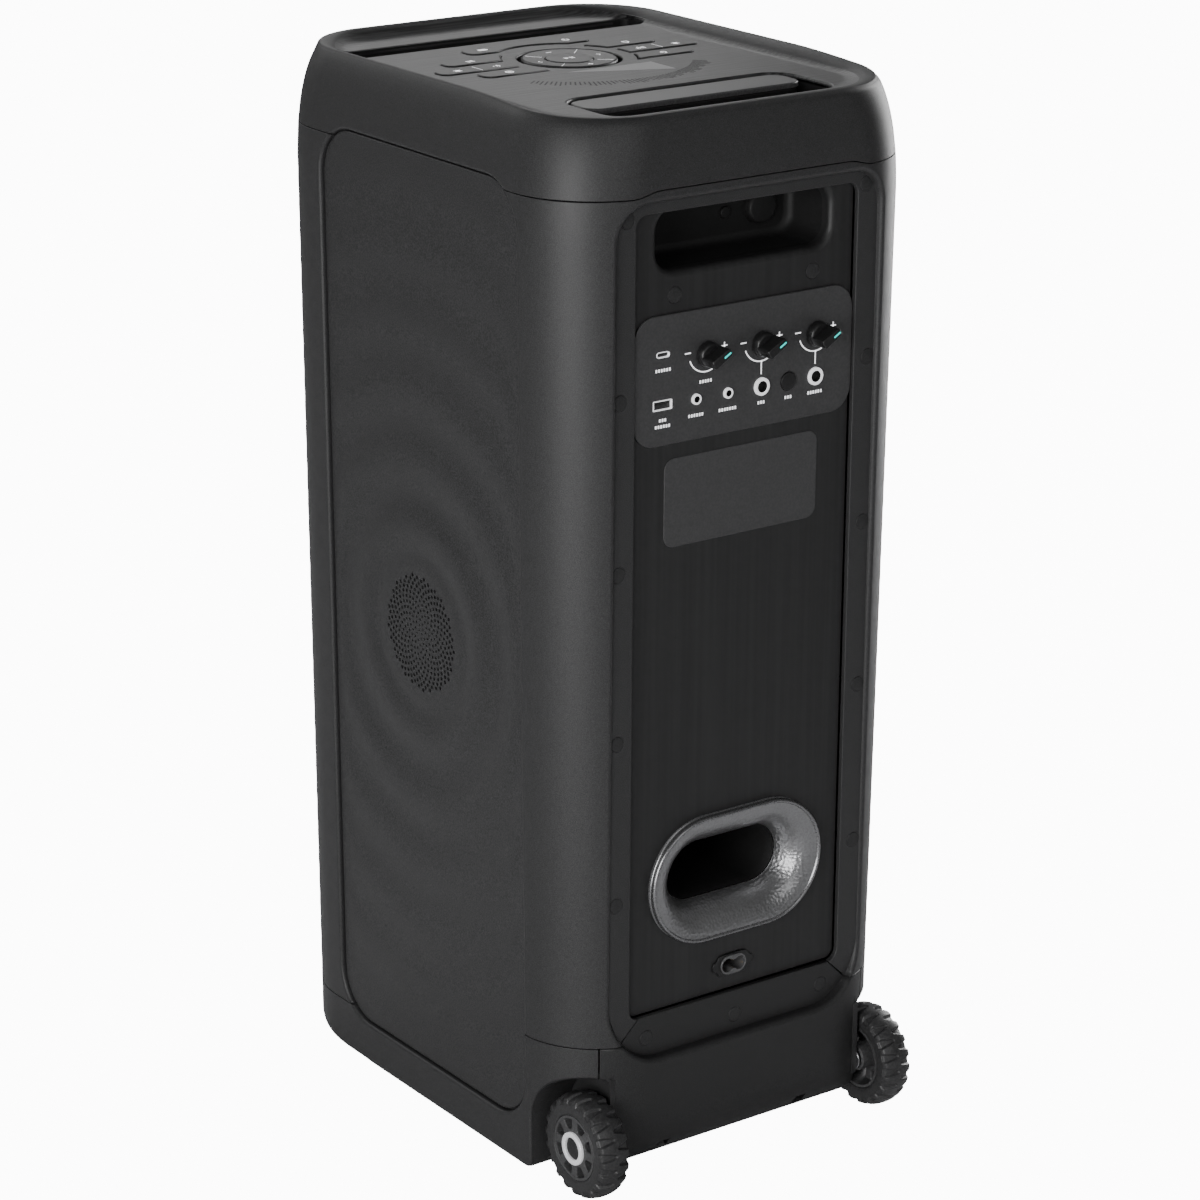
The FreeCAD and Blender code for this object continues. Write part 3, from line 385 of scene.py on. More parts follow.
def skin(mesh, rows, wrap=False, sharp=40.0, outward=None, last=None, slot=0):
    """Quads over rows of closed rings; normals are smooth except where the rows turn sharply.

    outward(points) gives rough outside directions, used only to choose the facing; last is the
    normal wanted along the last row.
    """
    rows = np.asarray(rows, float)
    count = len(rows)
    segments = count if wrap else count - 1
    facing = []
    for i in range(segments):
        a, b = rows[i], rows[(i + 1) % count]
        along = np.roll((a + b) / 2, -1, axis=0) - np.roll((a + b) / 2, 1, axis=0)
        facing.append(unit(np.cross(along, b - a)))
    facing = np.array(facing)
    middle = (rows[:segments] + np.roll(rows, -1, axis=0)[:segments]) / 2
    if outward is not None and np.sum(facing * outward(middle.reshape(-1, 3)).reshape(middle.shape)) < 0:
        facing = -facing
    limit = math.cos(math.radians(sharp))
    for i in range(segments):
        ends = []
        for j in (i - 1, i + 1):
            if wrap:
                j %= segments
            if 0 <= j < segments:
                smooth = np.einsum("ij,ij->i", facing[i], facing[j])[:, None] > limit
                ends.append(np.where(smooth, unit(facing[i] + facing[j]), facing[i]))
            elif last is not None and j == segments:
                ends.append(np.broadcast_to(last, facing[i].shape))
            else:
                ends.append(facing[i])
        mesh.strip([rows[i], rows[(i + 1) % count]], ends, slot=slot)


def lathe(mesh, centre, axis, profile, n=64, sharp=35.0, slot=0):
    """Closed ring of (radius, height) points turned about an axis."""
    axis = unit(np.asarray(axis, float))
    across = unit(np.cross(axis, (0.3, 0.5, 0.81)))
    other = np.cross(axis, across)
    profile = np.asarray(profile, float)
    edges = np.roll(profile, -1, axis=0) - profile
    winding = -1.0 if area(profile) > 0 else 1.0
    facing = unit(np.stack([-edges[:, 1], edges[:, 0]], 1)) * winding
    t = np.linspace(0, 2 * math.pi, n, endpoint=False)
    spoke = np.cos(t)[:, None] * across + np.sin(t)[:, None] * other

    def ring(r, h):
        return np.asarray(centre, float) + axis * h + spoke * r

    def turn(f):
        return spoke * f[0] + axis * f[1]
    count = len(profile)
    for i in range(count):
        j = (i + 1) % count
        if profile[i][0] < 1e-6 and profile[j][0] < 1e-6:
            continue
        ends = []
        for other_side in ((i - 1) % count, j):
            smooth = float(np.dot(facing[i], facing[other_side])) > math.cos(math.radians(sharp))
            ends.append(unit(facing[i] + facing[other_side]) if smooth else facing[i])
        mesh.strip([ring(*profile[i]), ring(*profile[j])], [turn(ends[0]), turn(ends[1])], slot=slot)


def corner_curve(start, corner_at, end, n):
    """n + 1 points of the curve that rounds off a corner."""
    return [(1 - t) ** 2 * start + 2 * t * (1 - t) * corner_at + t ** 2 * end
            for t in np.linspace(0, 1, n + 1)]


def bevelled(profile, r, n=3):
    """Rounds the corners of a closed polygon of (radius, height) points, except those on the axis."""
    profile = np.asarray(profile, float)
    out = []
    for i, p in enumerate(profile):
        before, after = profile[i - 1], profile[(i + 1) % len(profile)]
        if p[0] < 1e-6:
            out.append(p)
            continue
        a, b = unit(before - p), unit(after - p)
        reach = min(r, 0.45 * np.linalg.norm(before - p), 0.45 * np.linalg.norm(after - p))
        out += corner_curve(p + a * reach, p, p + b * reach, n)
    return np.array(out)


def bevelled_outline(points, r, n=4):
    """Closed outline with its corners rounded off."""
    points = np.asarray(points, float)
    out = []
    for i, p in enumerate(points):
        a, b = points[i - 1] - p, points[(i + 1) % len(points)] - p
        reach = [min(r, 0.45 * np.linalg.norm(d)) for d in (a, b)]
        out += corner_curve(p + unit(a) * reach[0], p, p + unit(b) * reach[1], n)
    return np.array(out)


def mirrored(mesh):
    """The same faces on the other side of the middle plane."""
    other = Mesh()
    for points, normals, slot in mesh.parts:
        other.parts.append(((points * (-1, 1, 1))[:, ::-1], (normals * (-1, 1, 1))[:, ::-1], slot))
    return other


def joined(*meshes):
    whole = Mesh()
    for mesh in meshes:
        whole.parts += mesh.parts
    return whole


# ---------------------------------------------------------------- the cabinet's form
def half_width(z):
    return MID_HALF + TAPER * (z - MID_Z)


def shoulder(z):
    """How far the wall has curved inward at height z."""
    climb = np.clip((np.asarray(z, float) - SHOULDER_Z) / SHOULDER_UP, 0, 1)
    return SHOULDER_IN * (1 - np.sqrt(1 - climb ** 2))


FLAT_U = MID_HALF - CORNER_R                        # lengths along the wall, from the rear's middle
ARC_U = CORNER_R * math.pi / 2
SIDE_U = REAR - FRONT - 2 * CORNER_R
HALF_U = 2 * FLAT_U + 2 * ARC_U + SIDE_U


def section(z, inset=0.0):
    """Corner radius, half flat width and the rear and front ends of the side flats at height z."""
    total = shoulder(z) + inset
    r = CORNER_R + 1.25 * shoulder(z) - total
    return r, half_width(z) - total - r, REAR - total - r, FRONT + total + r


def wall_point(uv, inset=0.0):
    """Point on the wall from (distance round from the rear's middle, height)."""
    u, z = uv[:, 0], uv[:, 1]
    side, a = np.where(u < 0, -1.0, 1.0), np.abs(u)
    r, flat, rear, front = section(z, inset)
    rear_turn = np.clip((a - FLAT_U) / CORNER_R, 0, math.pi / 2)
    front_turn = np.clip((HALF_U - FLAT_U - a) / CORNER_R, 0, math.pi / 2)
    at_rear, at_front = a < FLAT_U + ARC_U, a > FLAT_U + ARC_U + SIDE_U
    along = (a - FLAT_U - ARC_U) / SIDE_U
    x, y = flat + r, rear + (front - rear) * along
    x = np.where(at_rear, flat * np.minimum(a / FLAT_U, 1) + r * np.sin(rear_turn), x)
    y = np.where(at_rear, rear + r * np.cos(rear_turn), y)
    x = np.where(at_front, flat * np.minimum((HALF_U - a) / FLAT_U, 1) + r * np.sin(front_turn), x)
    y = np.where(at_front, front - r * np.cos(front_turn), y)
    return np.stack([side * x, y, z], 1)


def wall(inset=0.0):
    return curved(lambda uv: wall_point(uv, inset))


def u_of_x(x, z):
    """Distance round the wall to a point of the rear half with this x."""
    r, flat, _, _ = section(z)
    a = np.abs(x)
    turn = np.arcsin(np.clip((a - flat) / r, 0, 1))
    return np.sign(x) * np.where(a <= flat, a * FLAT_U / flat, FLAT_U + CORNER_R * turn)


def u_of_y(y, z):
    """Distance round the right-hand wall to a point with this y."""
    r, _, rear, front = section(z)
    mid = FLAT_U + ARC_U + (rear - y) / (rear - front) * SIDE_U
    back = FLAT_U + CORNER_R * np.arccos(np.clip((y - rear) / r, 0, 1))
    fore = FLAT_U + ARC_U + SIDE_U + CORNER_R * np.arcsin(np.clip((front - y) / r, 0, 1))
    return np.where(y > rear, back, np.where(y < front, fore, mid))


def on_wall(loop, by):
    """Turns an outline in (x or y, z, radius) into one in (distance round, z, radius)."""
    loop = np.asarray(loop, float)
    u = u_of_x(loop[:, 0], loop[:, 1]) if by == "x" else u_of_y(loop[:, 0], loop[:, 1])
    return np.column_stack([u, loop[:, 1:]])


def plan_half(y, z):
    """Half width of the plan outline at y."""
    r, flat, rear, front = section(z)
    over = np.maximum(np.maximum(y - rear, front - y), 0)
    return flat + np.sqrt(np.maximum(r ** 2 - over ** 2, 0))


def toe_z(y):
    """Height of the toe's quarter ellipse."""
    ahead = np.clip((FRONT + TOE_LENGTH - y) / TOE_LENGTH, 0, 1)
    return SOLE_Z + TOE_RISE * (1 - np.sqrt(1 - ahead ** 2))


def line(a, b, r, step=2.5):
    """Points from a towards b, without b, each with the edge radius r."""
    a, b = np.asarray(a, float), np.asarray(b, float)
    n = max(1, int(math.ceil(np.linalg.norm(b - a) / step)))
    return with_radius(a + (b - a) * np.linspace(0, 1, n, endpoint=False)[:, None], r)


def bend(centre, r, start, end, edge, n=14):
    return with_radius(arc(centre, r, start, end, n), edge)


TRAY_Y = (SIDE_Y[0] - 0.5, SIDE_Y[1] + 0.5)         # recess of the side panel
TRAY_Z = (SIDE_Z[0] - 0.5, SIDE_Z[1] + 0.5)
TRAY_R = SIDE_R + 0.5
TRAY_EDGE, SEAM_EDGE, RECESS_EDGE, CREASE_EDGE = 2.2, 0.4, 3.4, 2.4     # radii of the edges there
SEAM_CLIMB, CLIMB_X, CLIMB_WIDE = 3.2, 84.0, 18.0   # rise of the top seam over the recess


def tray_cut(z, corner_z):
    """How far a corner arc of the tray reaches along Y, from its centre, at height z."""
    return math.sqrt(TRAY_R ** 2 - (z - corner_z) ** 2)


def seam_rise(x):
    """The top seam climbs a little over the rear recess."""
    return SEAM_CLIMB * smooth((CLIMB_X - np.abs(x)) / CLIMB_WIDE)


def casing_front():
    """Outline of the front part of the casing: grille surround and both front corners."""
    low, high = FRONT_SEAM + SEAM, TOP_SEAM - SEAM
    lower, upper = TRAY_Z[0] + TRAY_R, TRAY_Z[1] - TRAY_R
    edge_y = TRAY_Y[0] + TRAY_R
    start_y = edge_y - tray_cut(low, lower)
    end_y = edge_y - tray_cut(high, upper)
    toe_y = FRONT + 1.1
    angle_low = math.degrees(math.asin((low - lower) / TRAY_R))
    angle_high = math.degrees(math.asin((high - upper) / TRAY_R))
    right = np.concatenate([
        line((toe_y, low), (start_y, low), SEAM_EDGE),
        bend((edge_y, lower), TRAY_R, 180 - angle_low, 180, TRAY_EDGE),
        line((TRAY_Y[0], lower), (TRAY_Y[0], upper), TRAY_EDGE),
        bend((edge_y, upper), TRAY_R, 180, 180 - angle_high, TRAY_EDGE),
        line((end_y, high), (FRONT + 5, high), SEAM_EDGE)])
    right = on_wall(right, "y")
    top = columns(np.arange(right[-1][0] + 3, HALF_U, 4.0), high, SEAM_EDGE)
    toe_u = np.linspace(HALF_U, right[0][0], 26)
    toe_y_at = wall_point(columns(toe_u, low))[:, 1]
    toe = columns(toe_u, np.maximum(toe_z(toe_y_at), low), SEAM_EDGE)
    half = np.concatenate([toe[:-1], right, top, [(HALF_U, high, SEAM_EDGE)]])
    other = half[::-1] * (-1, 1, 1) + (2 * HALF_U, 0, 0)
    return np.concatenate([half, other[1:-1]])


def recess_x(z):
    """Half width of the rear recess at height z, in its lower corners."""
    drop = RECESS_Z[0] + RECESS_LOW_R - z
    return RECESS_HALF - RECESS_LOW_R + math.sqrt(RECESS_LOW_R ** 2 - max(drop, 0) ** 2)


def recess_corner(z_from, grow, n=12):
    """Lower right corner of the recess, from height z_from down to its floor."""
    r = RECESS_LOW_R + grow
    centre = (RECESS_HALF - RECESS_LOW_R, RECESS_Z[0] + RECESS_LOW_R)
    return arc(centre, r, -math.degrees(math.asin((centre[1] - z_from) / r)), -90, n)


def casing_rear():
    """Outline of the rear part of the casing: both rear corners and the bridge over the recess."""
    low, high = REAR_SEAM + SEAM, TOP_SEAM - SEAM
    upper = TRAY_Z[1] - TRAY_R
    edge_y = TRAY_Y[1] - TRAY_R
    angle = math.degrees(math.asin((high - upper) / TRAY_R))
    top = RECESS_Z[1]
    centre = (RECESS_HALF - RECESS_R, top - RECESS_R)
    start_u = float(u_of_x(recess_x(low), low))
    end_u = float(u_of_y(TRAY_Y[1], low))
    bottom = columns(np.linspace(start_u, end_u, 16)[:-1], low, SEAM_EDGE)
    side = on_wall(np.concatenate([
        line((TRAY_Y[1], low), (TRAY_Y[1], upper), TRAY_EDGE),
        bend((edge_y, upper), TRAY_R, 0, angle, TRAY_EDGE)]), "y")
    top_u = np.arange(side[-1][0] - 3, 0, -3.0)
    x_at = wall_point(columns(top_u, high))[:, 0]
    lid = columns(top_u, high + seam_rise(x_at), SEAM_EDGE)
    n = 14
    corner_edge = np.linspace(RECESS_EDGE, CREASE_EDGE, n)
    corner_loop = columns(*arc(centre, RECESS_R, 90, 0, n).T, corner_edge)
    foot = recess_corner(low, 0.0)[0]
    heights = np.linspace(RECESS_Z[0] + RECESS_LOW_R, foot[1], 8)
    sweep = columns([recess_x(z) for z in heights], heights, CREASE_EDGE)
    opening = np.concatenate([
        line((0.1, top), (centre[0], top), RECESS_EDGE), corner_loop,
        line((RECESS_HALF, centre[1]), (RECESS_HALF, heights[0]), CREASE_EDGE), sweep])
    opening = on_wall(opening[1:], "x")
    middle = np.array([(0.0, high + seam_rise(0.0), SEAM_EDGE)])
    half = np.concatenate([bottom, side, lid])
    return np.concatenate([half, middle, half[::-1] * (-1, 1, 1), opening[::-1] * (-1, 1, 1),
                           [(0.0, top, RECESS_EDGE)], opening])


PLUG_R, PLUG_GAP = 4.6, 0.08
# (x, z) of the plugs on one side; each is repeated on the other
FLANGE_SCREWS = [(88.2, 179.6), (88.2, 279.3), (88.2, 380.6), (88.2, 480.4), (84.0, 582.5)]
COVER_SCREWS = [(65.6, 90.0), (0.0, 87.7)]
PANEL_SCREWS = [(48.8, 535.6)]


def screw_seats(places):
    return [circle(p, PLUG_R + PLUG_GAP, 28) for p in places + [(-x, z) for x, z in places if x]]


def casing_flange():
    """Outline of the flat frame round the rear window, open at the bottom."""
    half, top = RECESS_HALF + 0.6, RECESS_Z[1] + 0.6
    right = np.concatenate([
        [(STEP_TOP + 0.3, WINDOW_Z[0] + 0.05), (STEP_X + 0.3, REAR_SEAM + SEAM)],
        recess_corner(REAR_SEAM + SEAM, 0.6)[:1], [(half, RECESS_Z[0] + RECESS_LOW_R)],
        arc((half - RECESS_R, top - RECESS_R), RECESS_R, 0, 90, 14)])
    inner = np.concatenate([
        arc((WINDOW_HALF - WINDOW_R, WINDOW_Z[1] - WINDOW_R), WINDOW_R, 90, 0, 8),
        arc((WINDOW_HALF - WINDOW_R, WINDOW_Z[0] + WINDOW_R), WINDOW_R, 0, -80, 8)])
    return np.concatenate([right, right[::-1] * (-1, 1), inner[::-1] * (-1, 1), inner])


def front_wall(inset=0.0):
    """The wall for outlines that run past the front's middle: the far half is folded back."""
    def around(uv):
        u = np.where(uv[:, 0] > HALF_U, uv[:, 0] - 2 * HALF_U, uv[:, 0])
        return wall_point(columns(u, uv[:, 1]), inset)
    return curved(around)


def on_front(loop):
    """Turns an outline in (x, z, radius), seen from the rear, into one on the front wall."""
    loop = on_wall(loop, "x")
    loop[:, 0] = HALF_U - loop[:, 0]
    return loop


def cabinet_shell():
    mesh = Mesh()
    half, gap = GRILLE_HALF + GRILLE_GAP, GRILLE_GAP
    opening = rounded((-half, half), (GRILLE_Z[0] - gap, GRILLE_Z[1] + gap), GRILLE_R + gap, 14)
    opening = on_front(with_radius(dense(opening, 6.0), 1.6))
    plate(mesh, front_wall(), casing_front(), [opening], depth=6.0, step=9.0)
    plate(mesh, wall(), casing_rear(), depth=8.0, step=9.0)
    seats = screw_seats(FLANGE_SCREWS)
    plate(mesh, rear_plane(FLANGE_Y), casing_flange(), seats, depth=WALL, edge=0.6, hole_edge=0.3)
    for side in (1, -1):
        tray = rounded((TRAY_Y[0] - 3, TRAY_Y[1] + 3), (TRAY_Z[0] - 2, TRAY_Z[1] + 2), TRAY_R, 10)
        hole = circle((FIELD_Y, FIELD_Z), FIELD_R + 1, 48)
        plate(mesh, side_plane(side, SIDE_SINK + 2.9), tray, [hole], depth=3.0, edge=0.3)
    return mesh


def side_plane(side, sink, relief=None):
    """Plane of a side panel, sink below the wall; coordinates are (y, z)."""
    lean = unit((side * TAPER, 0.0, 1.0))
    out = unit((1.0 * side, 0.0, -TAPER))

    def at(uv):
        rise = (uv[:, 1:] - MID_Z) * math.hypot(1, TAPER)
        p = np.array((side * MID_HALF, 0.0, MID_Z)) + uv[:, :1] * (0, 1, 0) + rise * lean
        height = -sink if relief is None else relief(uv)[:, None] - sink
        return p + out * height, np.tile(out, (len(uv), 1))
    return at


def rear_to_heel(uv):
    """Rear wall unrolled down over the heel, from (x, height along the skin)."""
    x, w = uv[:, 0], uv[:, 1]
    knee = SOLE_Z + HEEL_R
    turn = np.maximum(knee - w, 0) / HEEL_R
    z = np.where(w > knee, w, knee - HEEL_R * np.sin(turn))
    heel = REAR - HEEL_R + HEEL_R * np.cos(turn)
    r, flat, rear, _ = section(z)
    corner_y = rear + np.sqrt(np.maximum(r ** 2 - np.maximum(np.abs(x) - flat, 0) ** 2, 0))
    soft = 1.5
    y = -soft * np.log(np.exp(-(heel - 140) / soft) + np.exp(-(corner_y - 140) / soft)) + 140
    y = np.where(turn <= 0, corner_y, np.minimum(y, np.minimum(heel, corner_y)))
    return np.stack([x, y, z], 1)


COVER_TURN = math.acos((PANEL_Y - (REAR - HEEL_R)) / HEEL_R)
COVER_LOW = SOLE_Z + HEEL_R * (1 - COVER_TURN)


def base_rear_cover():
    mesh = Mesh()
    low, high = COVER_LOW + SEAM, REAR_SEAM - SEAM
    bottom, top = RECESS_Z[0], WELL_TOP
    half = COVER_HALF - SEAM
    notch = SOLE_Z + HEEL_R * (1 - math.asin(19.0 / HEEL_R))
    right = np.concatenate([
        [(0.0, low, 0.4), (48.0, low, 0.4), (48.0, notch, 0.4), (56.0, notch, 0.4), (56.0, low, 0.4)],
        line((56.5, low), (WELL_X, low), 0.4), line((WELL_X, low), (WELL_X, top - 4.4), 0.8),
        bend((WELL_X + 4.4, top - 4.4), 4.4, 180, 95, 0.8, 8),
        line((half, top), (half, high), SEAM_EDGE), [(half, high, SEAM_EDGE)]])
    opening = np.concatenate([
        np.column_stack([recess_corner(high, 0.0), np.linspace(CREASE_EDGE, RECESS_EDGE, 12)]),
        line((RECESS_HALF - RECESS_LOW_R - 2, bottom), (0.0, bottom), RECESS_EDGE),
        [(0.0, bottom, RECESS_EDGE)]])
    half_loop = np.concatenate([right, opening])
    left = half_loop[::-1] * (-1, 1, 1)
    plate(mesh, curved(rear_to_heel), np.concatenate([half_loop, left[1:-1]]), depth=8.0, step=6.0)
    right = np.concatenate([[(STEP_TOP - 0.3, WINDOW_Z[0]), (STEP_X - 0.3, high)], recess_corner(high, 0.6)])
    plate(mesh, rear_plane(FLANGE_Y), np.concatenate([right, right[::-1] * (-1, 1)]),
          screw_seats(COVER_SCREWS), depth=WALL, edge=0.6, hole_edge=0.3)
    return mesh


def under_profile():
    """(y, z) points along the underside: toe, sole and heel up to the rear cover."""
    t = np.radians(np.linspace(0, 90, 24))
    toe = np.stack([FRONT + TOE_LENGTH - TOE_LENGTH * np.cos(t),
                    SOLE_Z + TOE_RISE - TOE_RISE * np.sin(t)], 1)
    sole = np.stack([np.linspace(toe[-1][0], REAR - HEEL_R, 24)[1:], np.full(23, SOLE_Z)], 1)
    t = np.linspace(math.pi / 2, COVER_TURN, 12)[1:]
    heel = np.stack([REAR - HEEL_R + HEEL_R * np.cos(t), SOLE_Z + HEEL_R * (1 - np.sin(t))], 1)
    return np.concatenate([toe, sole, heel])


def sole_edge(y):
    """Rounding of the base's lower edge: none at the front corners, full along the sides."""
    return SOLE_EDGE * smooth((y - FRONT - CORNER_R) / 35.0)


def well_toe():
    """The rounded foot in front of each wheel, as (y, z, edge radius)."""
    turn = bend((WELL_Y - WELL_TOE, SOLE_Z + WELL_TOE), WELL_TOE, -90, 0, SOLE_EDGE, 9)
    turn[:, 2] = np.linspace(SOLE_EDGE, WELL_EDGE, 9)
    return turn


def base_side():
    """Outline of one side wall of the base, between its underside, the wheel and the seams."""
    low, high = FRONT_SEAM - SEAM, REAR_SEAM - SEAM
    lower = TRAY_Z[0] + TRAY_R
    fore_y, aft_y = TRAY_Y[0] + TRAY_R, TRAY_Y[1] - TRAY_R
    toe_y = np.linspace(FRONT + 1.3, FRONT + TOE_LENGTH, 40)
    toe = np.column_stack([toe_y, toe_z(toe_y), sole_edge(toe_y)])
    well_r = (WELL_Y + WELL_R, WELL_TOP - WELL_R)
    cross_y = fore_y - tray_cut(low, lower)
    cross = math.degrees(math.atan2(low - lower, cross_y - fore_y)) % 360
    loop = np.concatenate([
        toe, line((FRONT + TOE_LENGTH + 3, SOLE_Z), (WELL_Y - WELL_TOE, SOLE_Z), SOLE_EDGE),
        well_toe(), bend(well_r, WELL_R, 180, 90, WELL_EDGE, 18)])
    loop = on_wall(loop, "y")
    end_u = float(u_of_x(COVER_HALF + SEAM, WELL_TOP))
    ledge = columns(np.linspace(loop[-1][0], end_u, 14)[1:], WELL_TOP, np.linspace(WELL_EDGE, 0.8, 13))
    seam = columns(np.linspace(end_u, float(u_of_y(TRAY_Y[1], high)), 14), high, SEAM_EDGE)
    tray = on_wall(np.concatenate([
        line((TRAY_Y[1], high - 2), (TRAY_Y[1], lower), TRAY_EDGE),
        bend((aft_y, lower), TRAY_R, 0, -90, TRAY_EDGE),
        line((aft_y - 2, TRAY_Z[0]), (fore_y, TRAY_Z[0]), TRAY_EDGE),
        bend((fore_y, lower), TRAY_R, 270, cross, TRAY_EDGE),
        line((cross_y - 1, low), (FRONT + 3, low), SEAM_EDGE)]), "y")
    return np.concatenate([loop, ledge, seam, tray])


def base_tray():
    side = Mesh()
    plate(side, wall(), base_side(), depth=6.0, step=7.0)
    points = under_profile()
    length = run_lengths(points)

    def under(uv):
        return columns(uv[:, 0], *(np.interp(uv[:, 1], length, points[:, i]) for i in (0, 1)))
    fore = WELL_Y - WELL_TOE
    ahead = points[:, 0] < fore
    limit = plan_half(points[:, 0], points[:, 1]) - sole_edge(points[:, 0])
    at_well = float(np.interp(fore, points[:, 0], length))
    right = np.column_stack([limit, length])[ahead]
    reach = float(plan_half(fore, SOLE_Z)) - SOLE_EDGE
    right = np.concatenate([right, [(reach, at_well), (WELL_X, at_well), (WELL_X, length[-1] - SEAM)]])
    middle = Mesh()
    outline = np.concatenate([right, right[::-1] * (-1, 1)])
    plate(middle, curved(under), with_radius(outline, 0.0), depth=WALL, step=8.0)
    # wheel housing: roof sheet and inner cheek
    toe = well_toe()
    roof = bend((WELL_Y + WELL_R, WELL_TOP - WELL_R), WELL_R, 180, 90, WELL_EDGE, 18)
    path = np.concatenate([toe, roof, [(REAR - 4.5, WELL_TOP, WELL_EDGE)]])
    ahead = unit(np.gradient(path[:, :2], axis=0))
    lift = columns(0.0, -ahead[:, 1], ahead[:, 0]) * 3.0
    inner = columns(WELL_X - 2, *path[:, :2].T)
    outer = np.column_stack([plan_half(path[:, 0], path[:, 1]) - path[:, 2], path[:, :2]])
    rings = np.stack([inner, outer, outer + lift, inner + lift], 1)
    skin(side, rings, sharp=60, outward=lambda p: p - np.array((105, 112.0, 60)))
    cheek = np.concatenate([[(REAR - 4, SOLE_Z + 22), (REAR - 22, SOLE_Z + 4.5), (fore, SOLE_Z + 0.5)],
                            path[1:-1, :2], [(REAR - 4, WELL_TOP)]])
    plate(side, plane((WELL_X, 0, 0), (0, 1, 0), (0, 0, 1)), cheek,
          [circle((WHEEL_Y, WHEEL_R), 4.3, 24)], depth=WALL, edge=0.05)
    return joined(side, mirrored(side), middle)


# ---------------------------------------------------------------- top cap
CREST_IN, BOWL_WIDE = 12.9, 16.1                    # inset of the crest, and the width of the slope inside it


def cap_corner(inset, z):
    """Corner radius in plan: the shoulder's rule outside the crest and the bowl's inside it."""
    outside = CORNER_R + 1.25 * shoulder(z) - inset
    inner = CORNER_R + 4 - 0.75 * inset
    t = np.clip((inset - 7.5) / (CREST_IN - 7.5), 0, 1)
    return outside + (inner - outside) * t


def cap_ring(inset, z, r=None):
    """Plan outline of the cabinet at an inset from its straight walls, with many points."""
    r = cap_corner(inset, z) if r is None else r
    half, n = half_width(z) - inset, 22
    turns = rounded((-half, half), (FRONT + inset, REAR - inset), r, n).reshape(4, n, 2)
    ends, starts = turns[:, -1:], np.roll(turns, -1, axis=0)[:, :1]
    sides = ends + (starts - ends) * np.linspace(0, 1, n)[1:-1, None]
    return columns(*np.concatenate([turns, sides], axis=1).reshape(-1, 2).T, z)


def crest_fall(y):
    """How much of the rim's height is lost towards the rear."""
    return 1 - 4.0 / (RIM_Z - DECK_Z) * smooth((y - 30.0) / 105.0)


def bowl_inset(x, y):
    """Inset of the plan ring that passes through (x, y)."""
    dx = half_width(RIM_Z) - np.abs(x)
    dy = np.minimum(REAR - y, y - FRONT)
    low, high = np.zeros_like(dx), np.full_like(dx, 140.0)
    for _ in range(24):
        s = (low + high) / 2
        r = np.maximum(CORNER_R + 4 - 0.75 * s, 4.0)
        over = np.maximum(s + r - dx, 0) ** 2 + np.maximum(s + r - dy, 0) ** 2 > r ** 2
        high, low = np.where(over, s, high), np.where(over, low, s)
    return s


def deck_position(uv):
    """Deck, the hollow slope round it and the crest, over (x, y)."""
    t = np.clip((bowl_inset(uv[:, 0], uv[:, 1]) - CREST_IN) / BOWL_WIDE, 0, 1)
    rise = (RIM_Z - DECK_Z) * (1 - smooth(t ** 0.85)) * crest_fall(uv[:, 1])
    return np.column_stack([uv, DECK_Z + rise])


def rim_drop(rows):
    """The crest dips a little towards the rear."""
    above = np.maximum(rows[..., 2] - DECK_Z, 0)
    rows[..., 2] -= above * (1 - crest_fall(rows[..., 1]))
    return rows


BAND_TOP = 606.0
BAY_X, BAY_Y, BAY_Z = 78.5, (65.5, 124.0), 604.0
SLOT_HALF, SLOT_Y, SLOT_DEPTH = 106.0, (-121.5, -101.5), 9.0
PAD_ROWS = {"upper": (-27.3, -14.2, 74.5), "middle": (-7.4, 5.8, 91.4), "lower": (11.5, 24.7, 74.5)}
WING_R, ARCH_R, ARCH, PAD_GAP, PAD_CORNER = 40.5, 45.7, (43.0, -52.5, -37.8), 0.5, 5.0


def wing_outline(side, row, grow=0.0):
    """Side pad: rounded at its outer end, hollowed round the dial at its inner end."""
    low, high, reach = PAD_ROWS[row]
    low, high, reach = low - grow, high + grow, reach + grow
    ring = WING_R - grow
    r = PAD_CORNER + grow
    start = math.degrees(math.atan2(low, math.sqrt(ring ** 2 - low ** 2)))
    end = math.degrees(math.atan2(high, math.sqrt(ring ** 2 - high ** 2)))
    loop = np.concatenate([arc((reach - r, low + r), r, -90, 0, 8), arc((reach - r, high - r), r, 0, 90, 8),
                           arc((0, 0), ring, end, start, 10)])
    return ccw(loop * (side, 1)) + (0, DIAL_Y)


def arch_outline(grow=0.0):
    """Front pad: a bar with a rounded hollow round the dial."""
    half, low, high = ARCH[0] + grow, ARCH[1] - grow, ARCH[2] + grow
    ring, r = ARCH_R - grow, PAD_CORNER + grow
    reach = math.sqrt(ring ** 2 - high ** 2)
    start = math.degrees(math.atan2(high, reach))
    end = math.degrees(math.atan2(high, -reach))
    loop = np.concatenate([
        arc((-half + r, low + r), r, 180, 270, 8), arc((half - r, low + r), r, 270, 360, 8),
        arc((half - r, high - r), r, 0, 90, 8), arc((0, 0), ring, start, end, 18),
        arc((-half + r, high - r), r, 90, 180, 8)])
    return ccw(loop) + (0, DIAL_Y)


PADS = {"power_bar": None, "source_button": (1, "upper"), "effects_button": (1, "middle"),
        "record_button": (1, "lower"), "vocal_button": (-1, "upper"), "sound_button": (-1, "middle"),
        "light_button": (-1, "lower")}


def pad_outline(name, grow=0.0):
    return arch_outline(grow) if PADS[name] is None else wing_outline(*PADS[name], grow)


